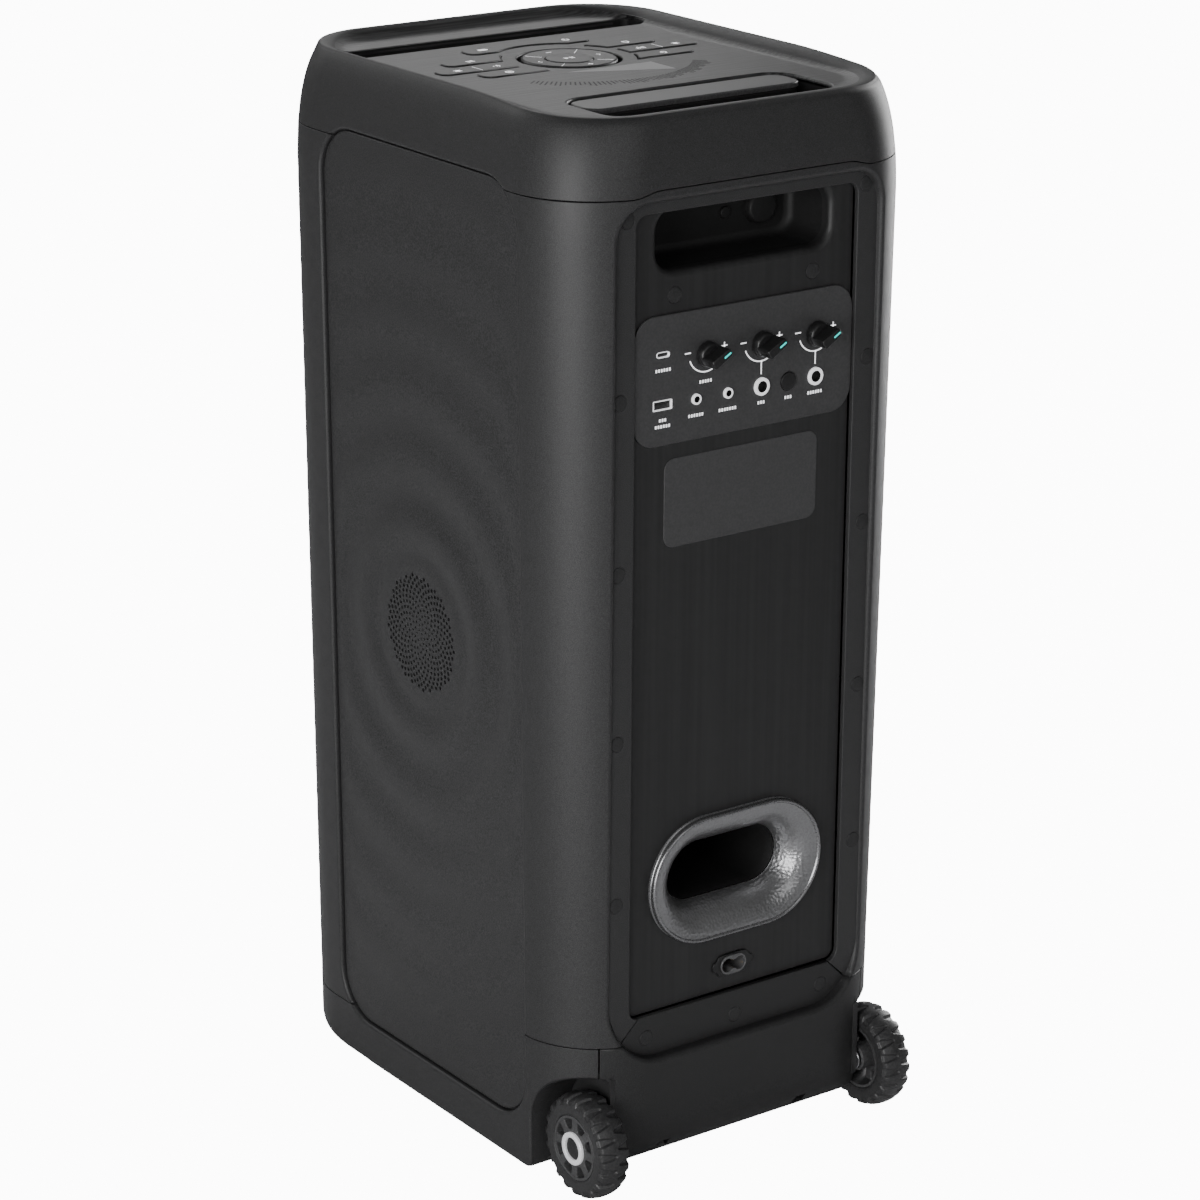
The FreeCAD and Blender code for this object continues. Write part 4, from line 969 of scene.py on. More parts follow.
def tub(mesh, surface, outline, depth, floor_r=3.0, wall_t=2.0, lip=0.0, slot=0):
    """Open box sunk below a surface: walls, a rounded foot and a floor."""
    outline = ccw(outline)
    steps = [(0.0, lip), (0.0, depth - floor_r)]
    steps += [(floor_r * (1 - math.cos(a)), depth - floor_r * (1 - math.sin(a)))
              for a in np.radians((22, 45, 68, 90))]
    inner = []
    for grow, down in steps:
        p, n = surface(inward(outline, grow))
        inner.append(p - n * down)
    spots, faces = triangulate(inward(outline, floor_r), (), None)
    p, n = surface(spots)
    mesh.add((p - n * depth)[faces], n[faces], slot)
    mesh.add((p - n * (depth + wall_t))[faces], -n[faces], slot)
    centre = np.concatenate(inner).mean(0)
    p, n = surface(outline)
    skin(mesh, inner, outward=lambda q: centre + n[0] * 20 - q, slot=slot)
    shell = [inner[0]]
    for grow, down in ((-wall_t, lip), (-wall_t, depth), (floor_r, depth + wall_t)):
        p, n = surface(inward(outline, grow))
        shell.append(p - n * down)
    skin(mesh, shell, outward=lambda q: q - centre, slot=slot)


PATCH = [(27.0, 2.4), (-33.6, 2.4), (-33.0, 27.8)]      # corners of the satin patch on the deck
FAN_HALF, FAN_STEP, FAN_R = 25, 2.05, 72.0              # fine bars each side, their spacing and start


def top_cap():
    mesh = Mesh()
    low, upper = TOP_SEAM + SEAM, TRAY_Z[1] - TRAY_R
    # lower band, notched where the side panels and the rear seam reach up
    a = math.degrees(math.asin((low - upper) / TRAY_R))
    aft = bend((TRAY_Y[1] - TRAY_R, upper), TRAY_R, a, 90, TRAY_EDGE, 10)
    fore = bend((TRAY_Y[0] + TRAY_R, upper), TRAY_R, 90, 180 - a, TRAY_EDGE, 10)
    between = line((aft[-1][0] - 2, TRAY_Z[1]), (fore[0][0], TRAY_Z[1]), TRAY_EDGE)
    cut = on_wall(np.concatenate([aft, between, fore]), "y")
    rear_u = np.arange(0.0, cut[0][0] - 1, 3.0)
    x_at = wall_point(columns(rear_u, low))[:, 0]
    rear = columns(rear_u, low + seam_rise(x_at), SEAM_EDGE)
    front = columns(np.append(np.arange(cut[-1][0] + 3, HALF_U - 1, 4.0), HALF_U), low, SEAM_EDGE)
    top = columns(np.linspace(HALF_U, 0, 130), BAND_TOP, 0.0)
    half = np.concatenate([rear, cut, front])
    over = np.concatenate([top, top[::-1][1:] * (-1, 1, 1)])
    loop = np.concatenate([half, over, half[::-1][:-1] * (-1, 1, 1)])
    plate(mesh, wall(), loop, depth=WALL, step=7.0)
    # shoulder up to the crest, and its inner face
    rows = []
    for climb in np.linspace(0, 1, 15):
        z = BAND_TOP + (640.2 - BAND_TOP) * math.sin(climb * math.pi / 2)
        rows.append(cap_ring(float(shoulder(z)), z))
    rows += [cap_ring(inset, z) for inset, z in ((10.2, 641.1), (11.4, 641.75), (CREST_IN, RIM_Z))]
    rows = list(rim_drop(np.array(rows)))
    rows += [deck_position(cap_ring(inset, 0)[:, :2]) for inset in (13.3, 13.8, 14.4, 15.0)]
    edge = dense(rows[-1][:, :2], 3.0)
    _, facing = curved(deck_position)(rows[-1][:, :2])
    skin(mesh, rows, sharp=42, last=facing, outward=lambda p: p - np.array((0, -10, 560.0)))
    rows = [cap_ring(CREST_IN, RIM_Z - WALL)]
    for inset, z in ((11.5, 634.0), (8.0, 624.0), (5.0, BAND_TOP), (1.7, BAND_TOP)):
        rows.append(cap_ring(inset, z, CORNER_R + 1.25 * float(shoulder(z)) - inset))
    skin(mesh, rim_drop(np.array(rows)), outward=lambda p: np.array((0, -10, 560.0)) - p)
    # deck with its openings
    deck, print_plane = top_plane(DECK_Z), top_plane(DECK_Z + MARK_UP)
    bay = dense(rounded((-BAY_X, BAY_X), BAY_Y, 16.0, 14), 3.0)
    well = dense(circle((0, DIAL_Y), DIAL_HOLE_R, 96), 3.0)
    groove = dense(rounded((-SLOT_HALF, SLOT_HALF), SLOT_Y, 5.0, 10), 3.0)
    holes = [with_radius(loop, r) for loop, r in ((bay, 1.6), (well, 1.0), (groove, 2.2))]
    holes += [with_radius(pad_outline(name, PAD_GAP), 0.5) for name in PADS]
    plate(mesh, curved(deck_position), with_radius(edge, 0.0), holes, depth=WALL, step=3.0, slot=3)
    # the bay and the groove take slot 1, the near-black finish: painted shade inside these recesses
    tub(mesh, deck, bay, DECK_Z - BAY_Z, 5.0, lip=2.0, slot=1)
    tub(mesh, deck, inward(groove, -0.1), SLOT_DEPTH, 2.5, lip=0.3, slot=1)
    tub(mesh, deck, well, 10.5, 1.5, lip=1.2)
    for name in PADS:
        tub(mesh, deck, pad_outline(name, PAD_GAP), 6.0, 0.5, 1.0, lip=0.6)
    # fan of fine bars behind the dial, and the satin patch between them
    for i in range(-FAN_HALF, FAN_HALF + 1):
        turn = math.radians(FAN_STEP * i)
        ray = np.array((math.sin(turn), math.cos(turn)))
        reach = 5.0 + 3.5 * abs(math.sin(0.9 * i)) + 3.0 * abs(math.sin(0.37 * i + 0.5))
        marks(mesh, print_plane, [[ray * r + (0, DIAL_Y) for r in (FAN_R, FAN_R + reach)]], 0.9, slot=1)
    plate(mesh, print_plane, PATCH, depth=0.2, edge=0.0, slot=2)
    return mesh


# ---------------------------------------------------------------- side panels
HOLES = 330
GOLDEN = math.pi * (3 - math.sqrt(5))
WAVE = 41.0             # distance between two ripples


def ripples(uv):
    """Height of the ripple relief at (y, z): rings round the hole field that die away outward."""
    y, z = uv[:, 0] - FIELD_Y, uv[:, 1] - FIELD_Z
    r = np.hypot(y, z * 0.97)
    grow = (r - FIELD_R - 3) / 14
    near = np.minimum.reduce([uv[:, 0] - SIDE_Y[0], SIDE_Y[1] - uv[:, 0],
                              uv[:, 1] - SIDE_Z[0], SIDE_Z[1] - uv[:, 1]])
    border = near / 16.0
    reach = np.where(z > 0, 95.0, 135.0)
    height = 1.05 * np.exp(-np.maximum(r - 70, 0) / reach) * np.cos(2 * math.pi * (r - 62) / WAVE)
    return height * smooth(grow) * smooth(border)


def rippled_plane(side):
    """Side plane with the ripples in its points and its normals."""
    return curved(lambda uv: side_plane(side, SIDE_SINK, ripples)(uv)[0])


def side_panel(side):
    mesh = Mesh()
    holes = []
    for n in range(HOLES):
        share = math.sqrt((n + 0.5) / HOLES)
        turn = n * GOLDEN
        centre = (FIELD_Y + FIELD_R * share * math.cos(turn), FIELD_Z + FIELD_R * share * math.sin(turn))
        holes.append(circle(centre, 0.65 + 0.6 * share, 10, math.degrees(turn)))
    gap = 0.45
    outline = dense(rounded((SIDE_Y[0] + gap, SIDE_Y[1] - gap), (SIDE_Z[0] + gap, SIDE_Z[1] - gap),
                            SIDE_R - gap, 18), 4.0)
    plate(mesh, rippled_plane(side), outline, holes, depth=2.4, edge=1.2, hole_edge=0.0, step=3.4)
    return mesh


# ---------------------------------------------------------------- rear details
PLATE_Y = corner("control_plate", True)[1]
PLATE_HALF, PLATE_Z = 77.6, (450.5, 525.5)
KNOBS = {"echo_knob": 27.3, "mic_knob": -11.9, "guitar_knob": -51.0}
KNOB_Z, KNOB_R, KNOB_TURN = 499.3, 7.5, 60.0
JACK_Z, AUX_X, JACK_X, PAIR_X = 474.0, (34.2, 11.8), (-12.2, -51.1), -31.7
USB_X, USB_C_Z, USB_A_Z = 57.4, 503.0, 474.0
POCKET_HALF, POCKET_Z, POCKET_R = 61.0, (549.5, 584.0), 12.0
PORT_Z, PORT_DROP, INLET_Z = 180.6, 23.0, 120.0
INLET_X = 4.3


def obround(half_x, half_z, z, x=0.0, n=16):
    """Stadium outline in (x, z)."""
    r = min(half_x, half_z) - 1e-3
    return rounded((x - half_x, x + half_x), (z - half_z, z + half_z), r, n)


def rear_panel():
    mesh = Mesh()
    pocket = rounded((-POCKET_HALF, POCKET_HALF), POCKET_Z, POCKET_R, 14)
    port = obround(54.5, 54.5 - PORT_DROP, PORT_Z)
    holes = [with_radius(pocket, 4.0), with_radius(port, 0.0), with_radius(obround(11.4, 7.4, INLET_Z), 0.0)]
    holes += [with_radius(seat, 0.3) for seat in screw_seats(PANEL_SCREWS)]
    outline = rounded((-77.2, 77.95), (104.4, 592.0), 6.5)
    plate(mesh, rear_plane(PANEL_Y), outline, holes, depth=8.5, edge=0.5)
    return mesh


def carry_pocket():
    mesh = Mesh()
    half, play = POCKET_HALF + 0.2, 0.2
    outline = rounded((-half, half), (POCKET_Z[0] - play, POCKET_Z[1] + play), POCKET_R, 14)
    tub(mesh, rear_plane(PANEL_Y), outline, 37.5, floor_r=5.0, lip=7.5)
    # a large and a small stud on the floor
    for x, z, foot, top, height, edge, n in ((-38.0, 568.0, 10.5, 9.5, 6.0, 1.5, 64),
                                             (-14.0, 567.0, 3.6, 3.4, 2.0, 0.5, 32)):
        stud = bevelled([(0, 0), (foot, 0), (top, height), (0, height)], edge)
        lathe(mesh, (x, 99.5, z), (0, 1, 0), stud, n=n)
    return mesh


MARK_UP = 0.06          # how far a printed mark stands proud of its surface
# a caption's middle in (x, z) and its number of dashes
CAPTIONS = [(57.4, 494.2, 6), (27.6, 483.4, 5), (34.2, 464.6, 6), (11.8, 464.6, 7), (-12.2, 464.6, 3),
            (-31.7, 464.6, 3), (-51.1, 464.6, 6), (57.4, 465.4, 3), (57.4, 461.8, 6)]


def ribbon(path, width):
    """Outline of a stroke of one width along an open path."""
    ahead = unit(np.gradient(path, axis=0))
    off = np.stack([-ahead[:, 1], ahead[:, 0]], 1) * width / 2
    return np.concatenate([path + off, (path - off)[::-1]])


def marks(mesh, surface, paths, width, slot=1):
    """Thin printed strokes on a surface."""
    for path in paths:
        plate(mesh, surface, ribbon(np.asarray(path, float), width), depth=0.2, edge=0.0, slot=slot)


def control_plate():
    mesh = Mesh()
    holes = [circle((x, JACK_Z), 3.2, 32) for x in AUX_X] + [circle((x, JACK_Z), 5.3, 40) for x in JACK_X]
    holes += [circle((x, KNOB_Z), 3.4, 32) for x in KNOBS.values()]
    holes += [circle((PAIR_X, JACK_Z), 5.6, 40), obround(4.8, 1.9, USB_C_Z, USB_X, 8),
              rounded((USB_X - 6.8, USB_X + 6.8), (USB_A_Z - 3.1, USB_A_Z + 3.1), 0.6, 4)]
    outline = rounded((-PLATE_HALF, PLATE_HALF), PLATE_Z, 14.7, 16)
    plate(mesh, rear_plane(PLATE_Y), outline, holes, depth=1.5, edge=0.55, hole_edge=0.15)
    paths = []
    for name, x in KNOBS.items():
        paths.append(arc((x + 0.4, KNOB_Z + 1.5), 11.9, -21, -152, 28))
        paths.append(np.array([(x + 15.1, KNOB_Z + 1.9), (x + 10.9, KNOB_Z + 1.9)]))
        paths.append(np.array([(x - 14.7, KNOB_Z + 2.7), (x - 10.5, KNOB_Z + 2.7)]))
        paths.append(np.array([(x - 12.6, KNOB_Z + 0.6), (x - 12.6, KNOB_Z + 4.8)]))
        if name != "echo_knob":
            paths.append(np.array([(x, KNOB_Z - 10.4), (x, JACK_Z + 7.2)]))
    marks(mesh, rear_plane(PLATE_Y + MARK_UP), paths, 0.75)
    # rows of short dashes where captions would stand
    dashes = []
    for x, z, count in CAPTIONS:
        for i in range(count):
            at = x + (i - (count - 1) / 2) * 1.85
            dashes.append(np.array([(at, z - 0.9), (at, z + 0.9)]))
    marks(mesh, rear_plane(PLATE_Y + MARK_UP), dashes, 1.15)
    return mesh


def rating_plate():
    mesh = Mesh()
    low, high = corner("rating_plate", False), corner("rating_plate", True)
    plate(mesh, rear_plane(high[1]), rounded((low[0], high[0]), (low[2], high[2]), 7.0, 12),
          depth=1.8, edge=0.35)
    return mesh


def bass_port():
    """Lip (slot 2), dimpled flare (slot 0) and deep duct (slot 1), painted near-black as painted shade."""
    foot, back, duct, wall_t, mouth = 95.0, 37.0, 40.0, 2.5, PANEL_Y + 4.2
    steps = [(62.5, PANEL_Y), (62.5, PANEL_Y + 3.4), (62.3, PANEL_Y + 4.4), (61.8, PANEL_Y + 5.1),
             (61.1, PANEL_Y + 5.4), (60.4, PANEL_Y + 5.1), (59.9, mouth)]
    lip = len(steps) - 1
    for t in np.linspace(0.02, 1, 40):
        share = max(1 - t / 0.55, 0)
        steps.append((duct + 19.9 * (1 - math.sqrt(1 - share ** 2)) ** 0.9, mouth - (mouth - foot) * t))
    steps += [(duct, back), (duct + wall_t, back), (duct + wall_t, foot), (50.0, PANEL_Y - 8),
              (53.5, PANEL_Y - 1)]
    n = 160
    rows = []
    for half, y in steps:
        loop = obround(half, half - PORT_DROP, PORT_Z, n=26)
        closed = np.vstack([loop, loop[:1]])
        length = run_lengths(closed)
        at = np.linspace(0, length[-1], n, endpoint=False)
        rows.append(columns(np.interp(at, length, closed[:, 0]), y, np.interp(at, length, closed[:, 1])))
    mesh = Mesh()
    # rows deeper than y 124 take slot 1, the near-black finish: painted shade deep in the duct
    dark = next(i for i, (_, y) in enumerate(steps) if y < 124.0)
    for first, last_row, slot in ((0, lip, 2), (lip, dark, 0), (dark, len(rows) - 1, 1)):
        part = rows[first:last_row + 1] + (rows[:1] if slot == 1 else [])
        skin(mesh, part, sharp=50, slot=slot, outward=lambda p: np.array((0, 500.0, PORT_Z)) - p)
    return mesh


def eight(r, spread, waist, n=14):
    """Figure-of-eight outline in (x, z) about the inlet's middle."""
    cut = math.degrees(math.asin(waist / r))
    right = arc((spread, INLET_Z), r, cut - 180, 180 - cut, n * 2)
    return np.concatenate([right, right[::-1] * (-1, 1)])


def mains_inlet():
    mesh = Mesh()
    top = PANEL_Y + 2.2
    ears = bevelled_outline([(-15, -2.6), (-11.6, -3.8), (-10, -7), (10, -7), (11.6, -3.8), (15, -2.6),
                             (15, 2.6), (11.6, 3.8), (10, 7), (-10, 7), (-11.6, 3.8), (-15, 2.6)], 3.0)
    body = obround(9.4, 6.0, INLET_Z)
    plate(mesh, rear_plane(PANEL_Y + 1.2), ears + (0, INLET_Z), [body], depth=1.2, edge=0.4, hole_edge=0.0)
    plate(mesh, rear_plane(top), obround(9.5, 6.1, INLET_Z), [eight(4.2, INLET_X, 2.8)], depth=18.0,
          edge=0.5, hole_edge=0.4, slot=1)
    plate(mesh, rear_plane(PANEL_Y - 12.0), obround(9.0, 5.6, INLET_Z), depth=2.0, edge=0.1)
    return mesh


def audio_sockets():
    """Pale collars brightened by a painted glow, with a dark barrel inside each."""
    mesh = Mesh()
    for xs, hole, collar in ((AUX_X, 1.8, 3.1), (JACK_X, 3.25, 5.2)):
        for x in xs:
            ring = [(hole, -1.2), (hole, 1.1), (hole + 0.4, 1.35), (collar, 1.35), (collar, -1.2)]
            lathe(mesh, (x, PLATE_Y, JACK_Z), (0, 1, 0), bevelled(ring, 0.3), n=48)
            barrel = [(hole - 0.12, -24.0), (hole - 0.12, 1.2), (hole + 0.1, 1.2), (hole + 0.1, -1.2),
                      (collar - 0.3, -1.2), (collar - 0.3, -24.0)]
            lathe(mesh, (x, PLATE_Y, JACK_Z), (0, 1, 0), barrel, n=32, slot=1)
            plug = [(0, -25.0), (hole + 0.3, -25.0), (hole + 0.3, -23.5), (0, -23.5)]
            lathe(mesh, (x, PLATE_Y, JACK_Z), (0, 1, 0), plug, n=24, slot=1)
    return mesh


def usb_socket(half_x, half_z, r, z, wall_t, tongue):
    """Plated shell with a tongue and a dark back; tongue is its (low, high) about the middle."""
    def block(wide, low, high, radius, n):
        return rounded((USB_X - wide, USB_X + wide), (z + low, z + high), radius, n)

    mesh = Mesh()
    mouth = block(half_x - wall_t, wall_t - half_z, half_z - wall_t, max(r - wall_t, 0.1), 8)
    plate(mesh, rear_plane(PLATE_Y + 0.25), block(half_x, -half_z, half_z, r, 8), [mouth],
          depth=14.0, edge=0.12)
    plate(mesh, rear_plane(PLATE_Y - 1.2), block(half_x - wall_t - 0.5, *tongue, 0.15, 3),
          depth=11.0, edge=0.1, slot=1)
    plate(mesh, rear_plane(PLATE_Y - 12.0), block(half_x - 0.1, 0.1 - half_z, half_z - 0.1, 0.3, 4),
          depth=1.5, edge=0.0, slot=1)
    return mesh


def knob(x):
    """Round skirt with a tall bar grip that points KNOB_TURN clockwise from up, seen from the rear."""
    mesh = Mesh()
    skirt = [(0, 0.4), (KNOB_R, 0.4), (KNOB_R - 0.2, 4.2), (KNOB_R - 1.2, 5.8), (0, 5.8)]
    lathe(mesh, (x, PLATE_Y, KNOB_Z), (0, 1, 0), bevelled(skirt, 0.9), n=72)
    t = math.radians(KNOB_TURN)
    along = np.array((-math.sin(t), 0, math.cos(t)))
    across = np.cross((0, 1, 0), along)
    face = plane((x, PLATE_Y + 15.6, KNOB_Z), -across, along)
    bar = bevelled_outline([(-3.1, -7.1), (3.1, -7.1), (2.7, 7.3), (-2.7, 7.3)], 2.0, 6)
    plate(mesh, face, bar, depth=11.0, edge=1.1)
    line_loop = rounded((-0.55, 0.55), (1.0, 6.3), 0.5, 5)
    plate(mesh, plane((x, PLATE_Y + 15.66, KNOB_Z), -across, along), line_loop, depth=0.4, edge=0.0, slot=1)
    end = plane(np.array((x, PLATE_Y, KNOB_Z)) + along * 7.36, across, (0, 1, 0))
    plate(mesh, end, rounded((-0.55, 0.55), (8.0, 14.6), 0.5, 5), depth=0.5, edge=0.0, slot=1)
    return mesh


def pairing_button():
    mesh = Mesh()
    cap = [(0, -1.5), (5.4, -1.5), (5.4, 0.8), (0, 0.55)]
    lathe(mesh, (PAIR_X, PLATE_Y, JACK_Z), (0, 1, 0), bevelled(cap, 0.45), n=56)
    return mesh


def screw_caps():
    mesh = Mesh()
    places = [(p, FLANGE_Y) for p in FLANGE_SCREWS + COVER_SCREWS] + [(p, PANEL_Y) for p in PANEL_SCREWS]
    plug = bevelled([(0, -1.5), (PLUG_R, -1.5), (PLUG_R, 0.15), (0, 0.15)], 0.3)
    for (x, z), y in places:
        for at in (x, -x) if x else (x,):
            lathe(mesh, (at, y, z), (0, 1, 0), plug, n=40)
    return mesh


# ---------------------------------------------------------------- wheels
POCKETS, POCKET_WIDE, POCKET_TIP, POCKET_REACH, POCKET_DEEP = 20, 3.1, 1.0, 9.4, 2.1
WHEEL_X = (96.5, 116.5)
RIM_R, TRIM, CAP_R = 20.0, (6.9, 10.0), 6.3


def crown(w):
    """Radius of the tread across the wheel, w from one sidewall."""
    return WHEEL_R - 2.8 * np.abs(w / 10.0 - 1) ** 2.4


def tyre():
    """Crowned tread with two staggered rows of wedge-shaped pockets, wide at the sidewalls."""
    wall_profile = [(RIM_R, 0.7), (RIM_R + 0.5, 0.25), (22.0, 0.0), (25.0, 0.0), (26.6, 0.05), (27.6, 0.15),
                    (28.3, 0.35), (28.8, 0.65)]
    across = [(float(crown(w)), w) for w in np.arange(1.0, 10.05, 0.45)]
    half = wall_profile + across
    profile = half + [(r, 20 - w) for r, w in reversed(half)]
    turns = np.linspace(0, 2 * math.pi, POCKETS * 24, endpoint=False)
    pitch = 2 * math.pi / POCKETS
    rows = []
    for r, w in profile:
        depth = np.zeros(len(turns))
        for row, inward_by in enumerate((w, 20 - w)):
            phase = (turns / pitch + 0.5 * row + 0.5) % 1 - 0.5
            arc_mm = np.abs(phase) * pitch * WHEEL_R
            half_wide = POCKET_WIDE + (POCKET_TIP - POCKET_WIDE) * min(inward_by / POCKET_REACH, 1)
            tip = np.sqrt(np.maximum(1 - (arc_mm / POCKET_TIP) ** 2, 0)) * POCKET_TIP
            room = np.minimum(half_wide - arc_mm, POCKET_REACH - POCKET_TIP + tip - inward_by)
            fade = 1 - 0.35 * min(inward_by / POCKET_REACH, 1)
            depth = np.maximum(depth, smooth((room + 0.25) / 0.6) * fade)
        radius = r - depth * POCKET_DEEP * float(smooth((r - 26.0) / 2.6))
        x = WHEEL_X[0] + w
        rows.append(np.stack([x + 0 * turns, WHEEL_Y + radius * np.cos(turns),
                              WHEEL_R + radius * np.sin(turns)], 1))
    mesh = Mesh()
    skin(mesh, rows, wrap=True, sharp=60, outward=lambda p: p - np.array((106.5, WHEEL_Y, WHEEL_R)))
    return mesh


def hub():
    """Rim band, a face with eight rounded wedge openings, a bored boss and a pale trim ring with a painted
    glow.
    """
    mesh = Mesh()
    centre = (WHEEL_X[0], WHEEL_Y, WHEEL_R)
    axis = (1, 0, 0)
    band = [(18.0, 1.0), (RIM_R - 0.15, 1.0), (RIM_R - 0.15, 19.6), (18.0, 19.6)]
    lathe(mesh, centre, axis, bevelled(band, 0.35), n=96)
    boss = [(4.05, 0.0), (8.5, 0.0), (8.5, 7.0), (TRIM[1], 17.0), (TRIM[1], 19.6), (TRIM[0], 19.6),
            (TRIM[0], 18.0), (4.05, 18.0)]
    lathe(mesh, centre, axis, bevelled(boss, 0.3), n=64)
    ring = [(TRIM[0], 19.0), (TRIM[1], 19.0), (TRIM[1], 21.3), (TRIM[0], 21.3)]
    lathe(mesh, centre, axis, bevelled(ring, 0.6), n=72, slot=1)
    face = plane((WHEEL_X[0] + 19.3, WHEEL_Y, WHEEL_R), (0, 1, 0), (0, 0, 1))
    openings = []
    for i in range(8):
        t = np.radians(22.5 + 45 * i)
        wedge = bevelled_outline([(11.6, -1.9), (17.6, -4.3), (18.3, 0), (17.6, 4.3), (11.6, 1.9)], 1.6, 5)
        turn = np.array([(math.cos(t), math.sin(t)), (-math.sin(t), math.cos(t))])
        openings.append(wedge @ turn)
    plate(mesh, face, circle((0, 0), 18.9, 96), openings + [circle((0, 0), 7.5, 48)], depth=8.0,
          edge=0.0, hole_edge=0.7)
    return mesh


def axle_caps():
    mesh = Mesh()
    dome = [(0, 0), (CAP_R, 0), (CAP_R, 1.6), (6.0, 2.2), (5.2, 2.8), (3.9, 3.25), (2.0, 3.5), (0, 3.6)]
    lathe(mesh, (WHEEL_X[1] - 1.95, WHEEL_Y, WHEEL_R), (1, 0, 0), dome, n=48, sharp=40)
    return joined(mesh, mirrored(mesh))


def axle_washers():
    mesh = Mesh()
    x = (WELL_X + 0.05, WHEEL_X[0] - 0.1)
    ring = bevelled([(4.05, x[0]), (7.5, x[0]), (7.5, x[1]), (4.05, x[1])], 0.25)
    lathe(mesh, (0, WHEEL_Y, WHEEL_R), (1, 0, 0), ring, n=64)
    return joined(mesh, mirrored(mesh))


def front_feet():
    mesh = Mesh()
    low, high = corner("front_feet", False), corner("front_feet", True)
    foot_r = 13.0
    centre = (high[0] - foot_r, (low[1] + high[1]) / 2, 0.0)
    foot = [(0, 0), (foot_r - 0.6, 0), (foot_r, 1.2), (foot_r, SOLE_Z), (0, SOLE_Z)]
    lathe(mesh, centre, (0, 0, 1), bevelled(foot, 0.5))
    return joined(mesh, mirrored(mesh))


# ---------------------------------------------------------------- front
def front_grille():
    """Steel sheet wrapped round the front, with hexagonal perforations."""
    mesh = Mesh()
    outline = dense(rounded((-GRILLE_HALF, GRILLE_HALF), GRILLE_Z, GRILLE_R, 16), 5.0)
    pitch, row_share, hole_r, margin = 6.4, 0.866, 2.35, 5.5
    edge = rounded((-GRILLE_HALF + margin, GRILLE_HALF - margin),
                   (GRILLE_Z[0] + margin, GRILLE_Z[1] - margin), 26.0, 10)
    spots = []
    for j in range(int((GRILLE_Z[1] - GRILLE_Z[0]) / (pitch * row_share)) + 1):
        for i in range(-16, 17):
            spots.append(((i + 0.5 * (j % 2)) * pitch, GRILLE_Z[0] + j * pitch * row_share))
    spots = np.array(spots)
    spots = spots[inside(spots, edge)]
    holes = [on_front(with_radius(circle(p, hole_r, 6, 30), 0.0)) for p in spots]
    plate(mesh, front_wall(-GRILLE_PROUD), on_front(with_radius(outline, 0.9)), holes, depth=1.5)
    return mesh


# ---------------------------------------------------------------- deck pieces
def ring_path(r, start=0.0, end=350.0, n=18):
    return arc((0, 0), r, start, end, n)


# strokes of each small sign about its own middle, in (x, y)
ICONS = {
    "power": [ring_path(1.6, 130, 410), [(0, 0.4), (0, 2.2)]],
    "cell": [[(-2.0, -1.1), (2.0, -1.1), (2.0, 1.1), (-2.0, 1.1), (-2.0, -0.9)], [(2.4, -0.5), (2.4, 0.5)]],
    "swap": [[(-2, 0.8), (2, 0.8), (1.0, 1.7)], [(2, -0.8), (-2, -0.8), (-1.0, -1.7)]],
    "waves": [ring_path(1.0, -50, 50, 8), ring_path(2.0, -50, 50, 10), [(-0.8, -0.4), (-0.8, 0.4)]],
    "star": [[(0, -1.9), (0, 1.9)], [(-1.7, -1), (1.7, 1)], [(-1.7, 1), (1.7, -1)]],
    "dot": [ring_path(1.8), ring_path(0.5)],
    "voice": [ring_path(1.3, 180, 360, 10), [(-1.3, 0), (-1.3, 1.6), (1.3, 1.6), (1.3, 0)],
              [(0, -1.3), (0, -2.1)]],
    "bars": [[(x, -1.6), (x, h)] for x, h in ((-2, 0.4), (-0.7, 1.8), (0.7, 1.0), (2, 1.6))],
    "lamp": [ring_path(1.3, -60, 240, 14), [(-0.7, -2.0), (0.7, -2.0)]],
}
SIGN_SCALE = -1.3       # turned to be read from the rear, and a little larger
PAD_ICONS = {"power_bar": [("power", -30.0), ("cell", 30.0)], "source_button": [("swap", 56.0)],
             "effects_button": [("waves", 52.0), ("star", 78.0)], "record_button": [("dot", 55.0)],
             "vocal_button": [("voice", -56.0)], "sound_button": [("bars", -52.0), ("star", -78.0)],
             "light_button": [("lamp", -55.0)]}


def pad(name):
    mesh = Mesh()
    top = corner(name, True)[2]
    plate(mesh, top_plane(top), pad_outline(name), depth=3.5, edge=0.7)
    row = ARCH[1:] if PADS[name] is None else PAD_ROWS[PADS[name][1]][:2]
    middle = DIAL_Y + sum(row) / 2 - (1.5 if PADS[name] is None else 0)
    for kind, x in PAD_ICONS[name]:
        turned = [np.array(path, float) * SIGN_SCALE + (x, middle) for path in ICONS[kind]]
        marks(mesh, top_plane(top + MARK_UP), turned, 0.75)
    if len(PAD_ICONS[name]) == 2 and PADS[name]:
        x = 64.5 * PADS[name][0]
        split = [(x, DIAL_Y + row[0] + 1.0), (x, DIAL_Y + row[1] - 1.0)]
        marks(mesh, top_plane(top + MARK_UP), [split], 0.25)
    return mesh


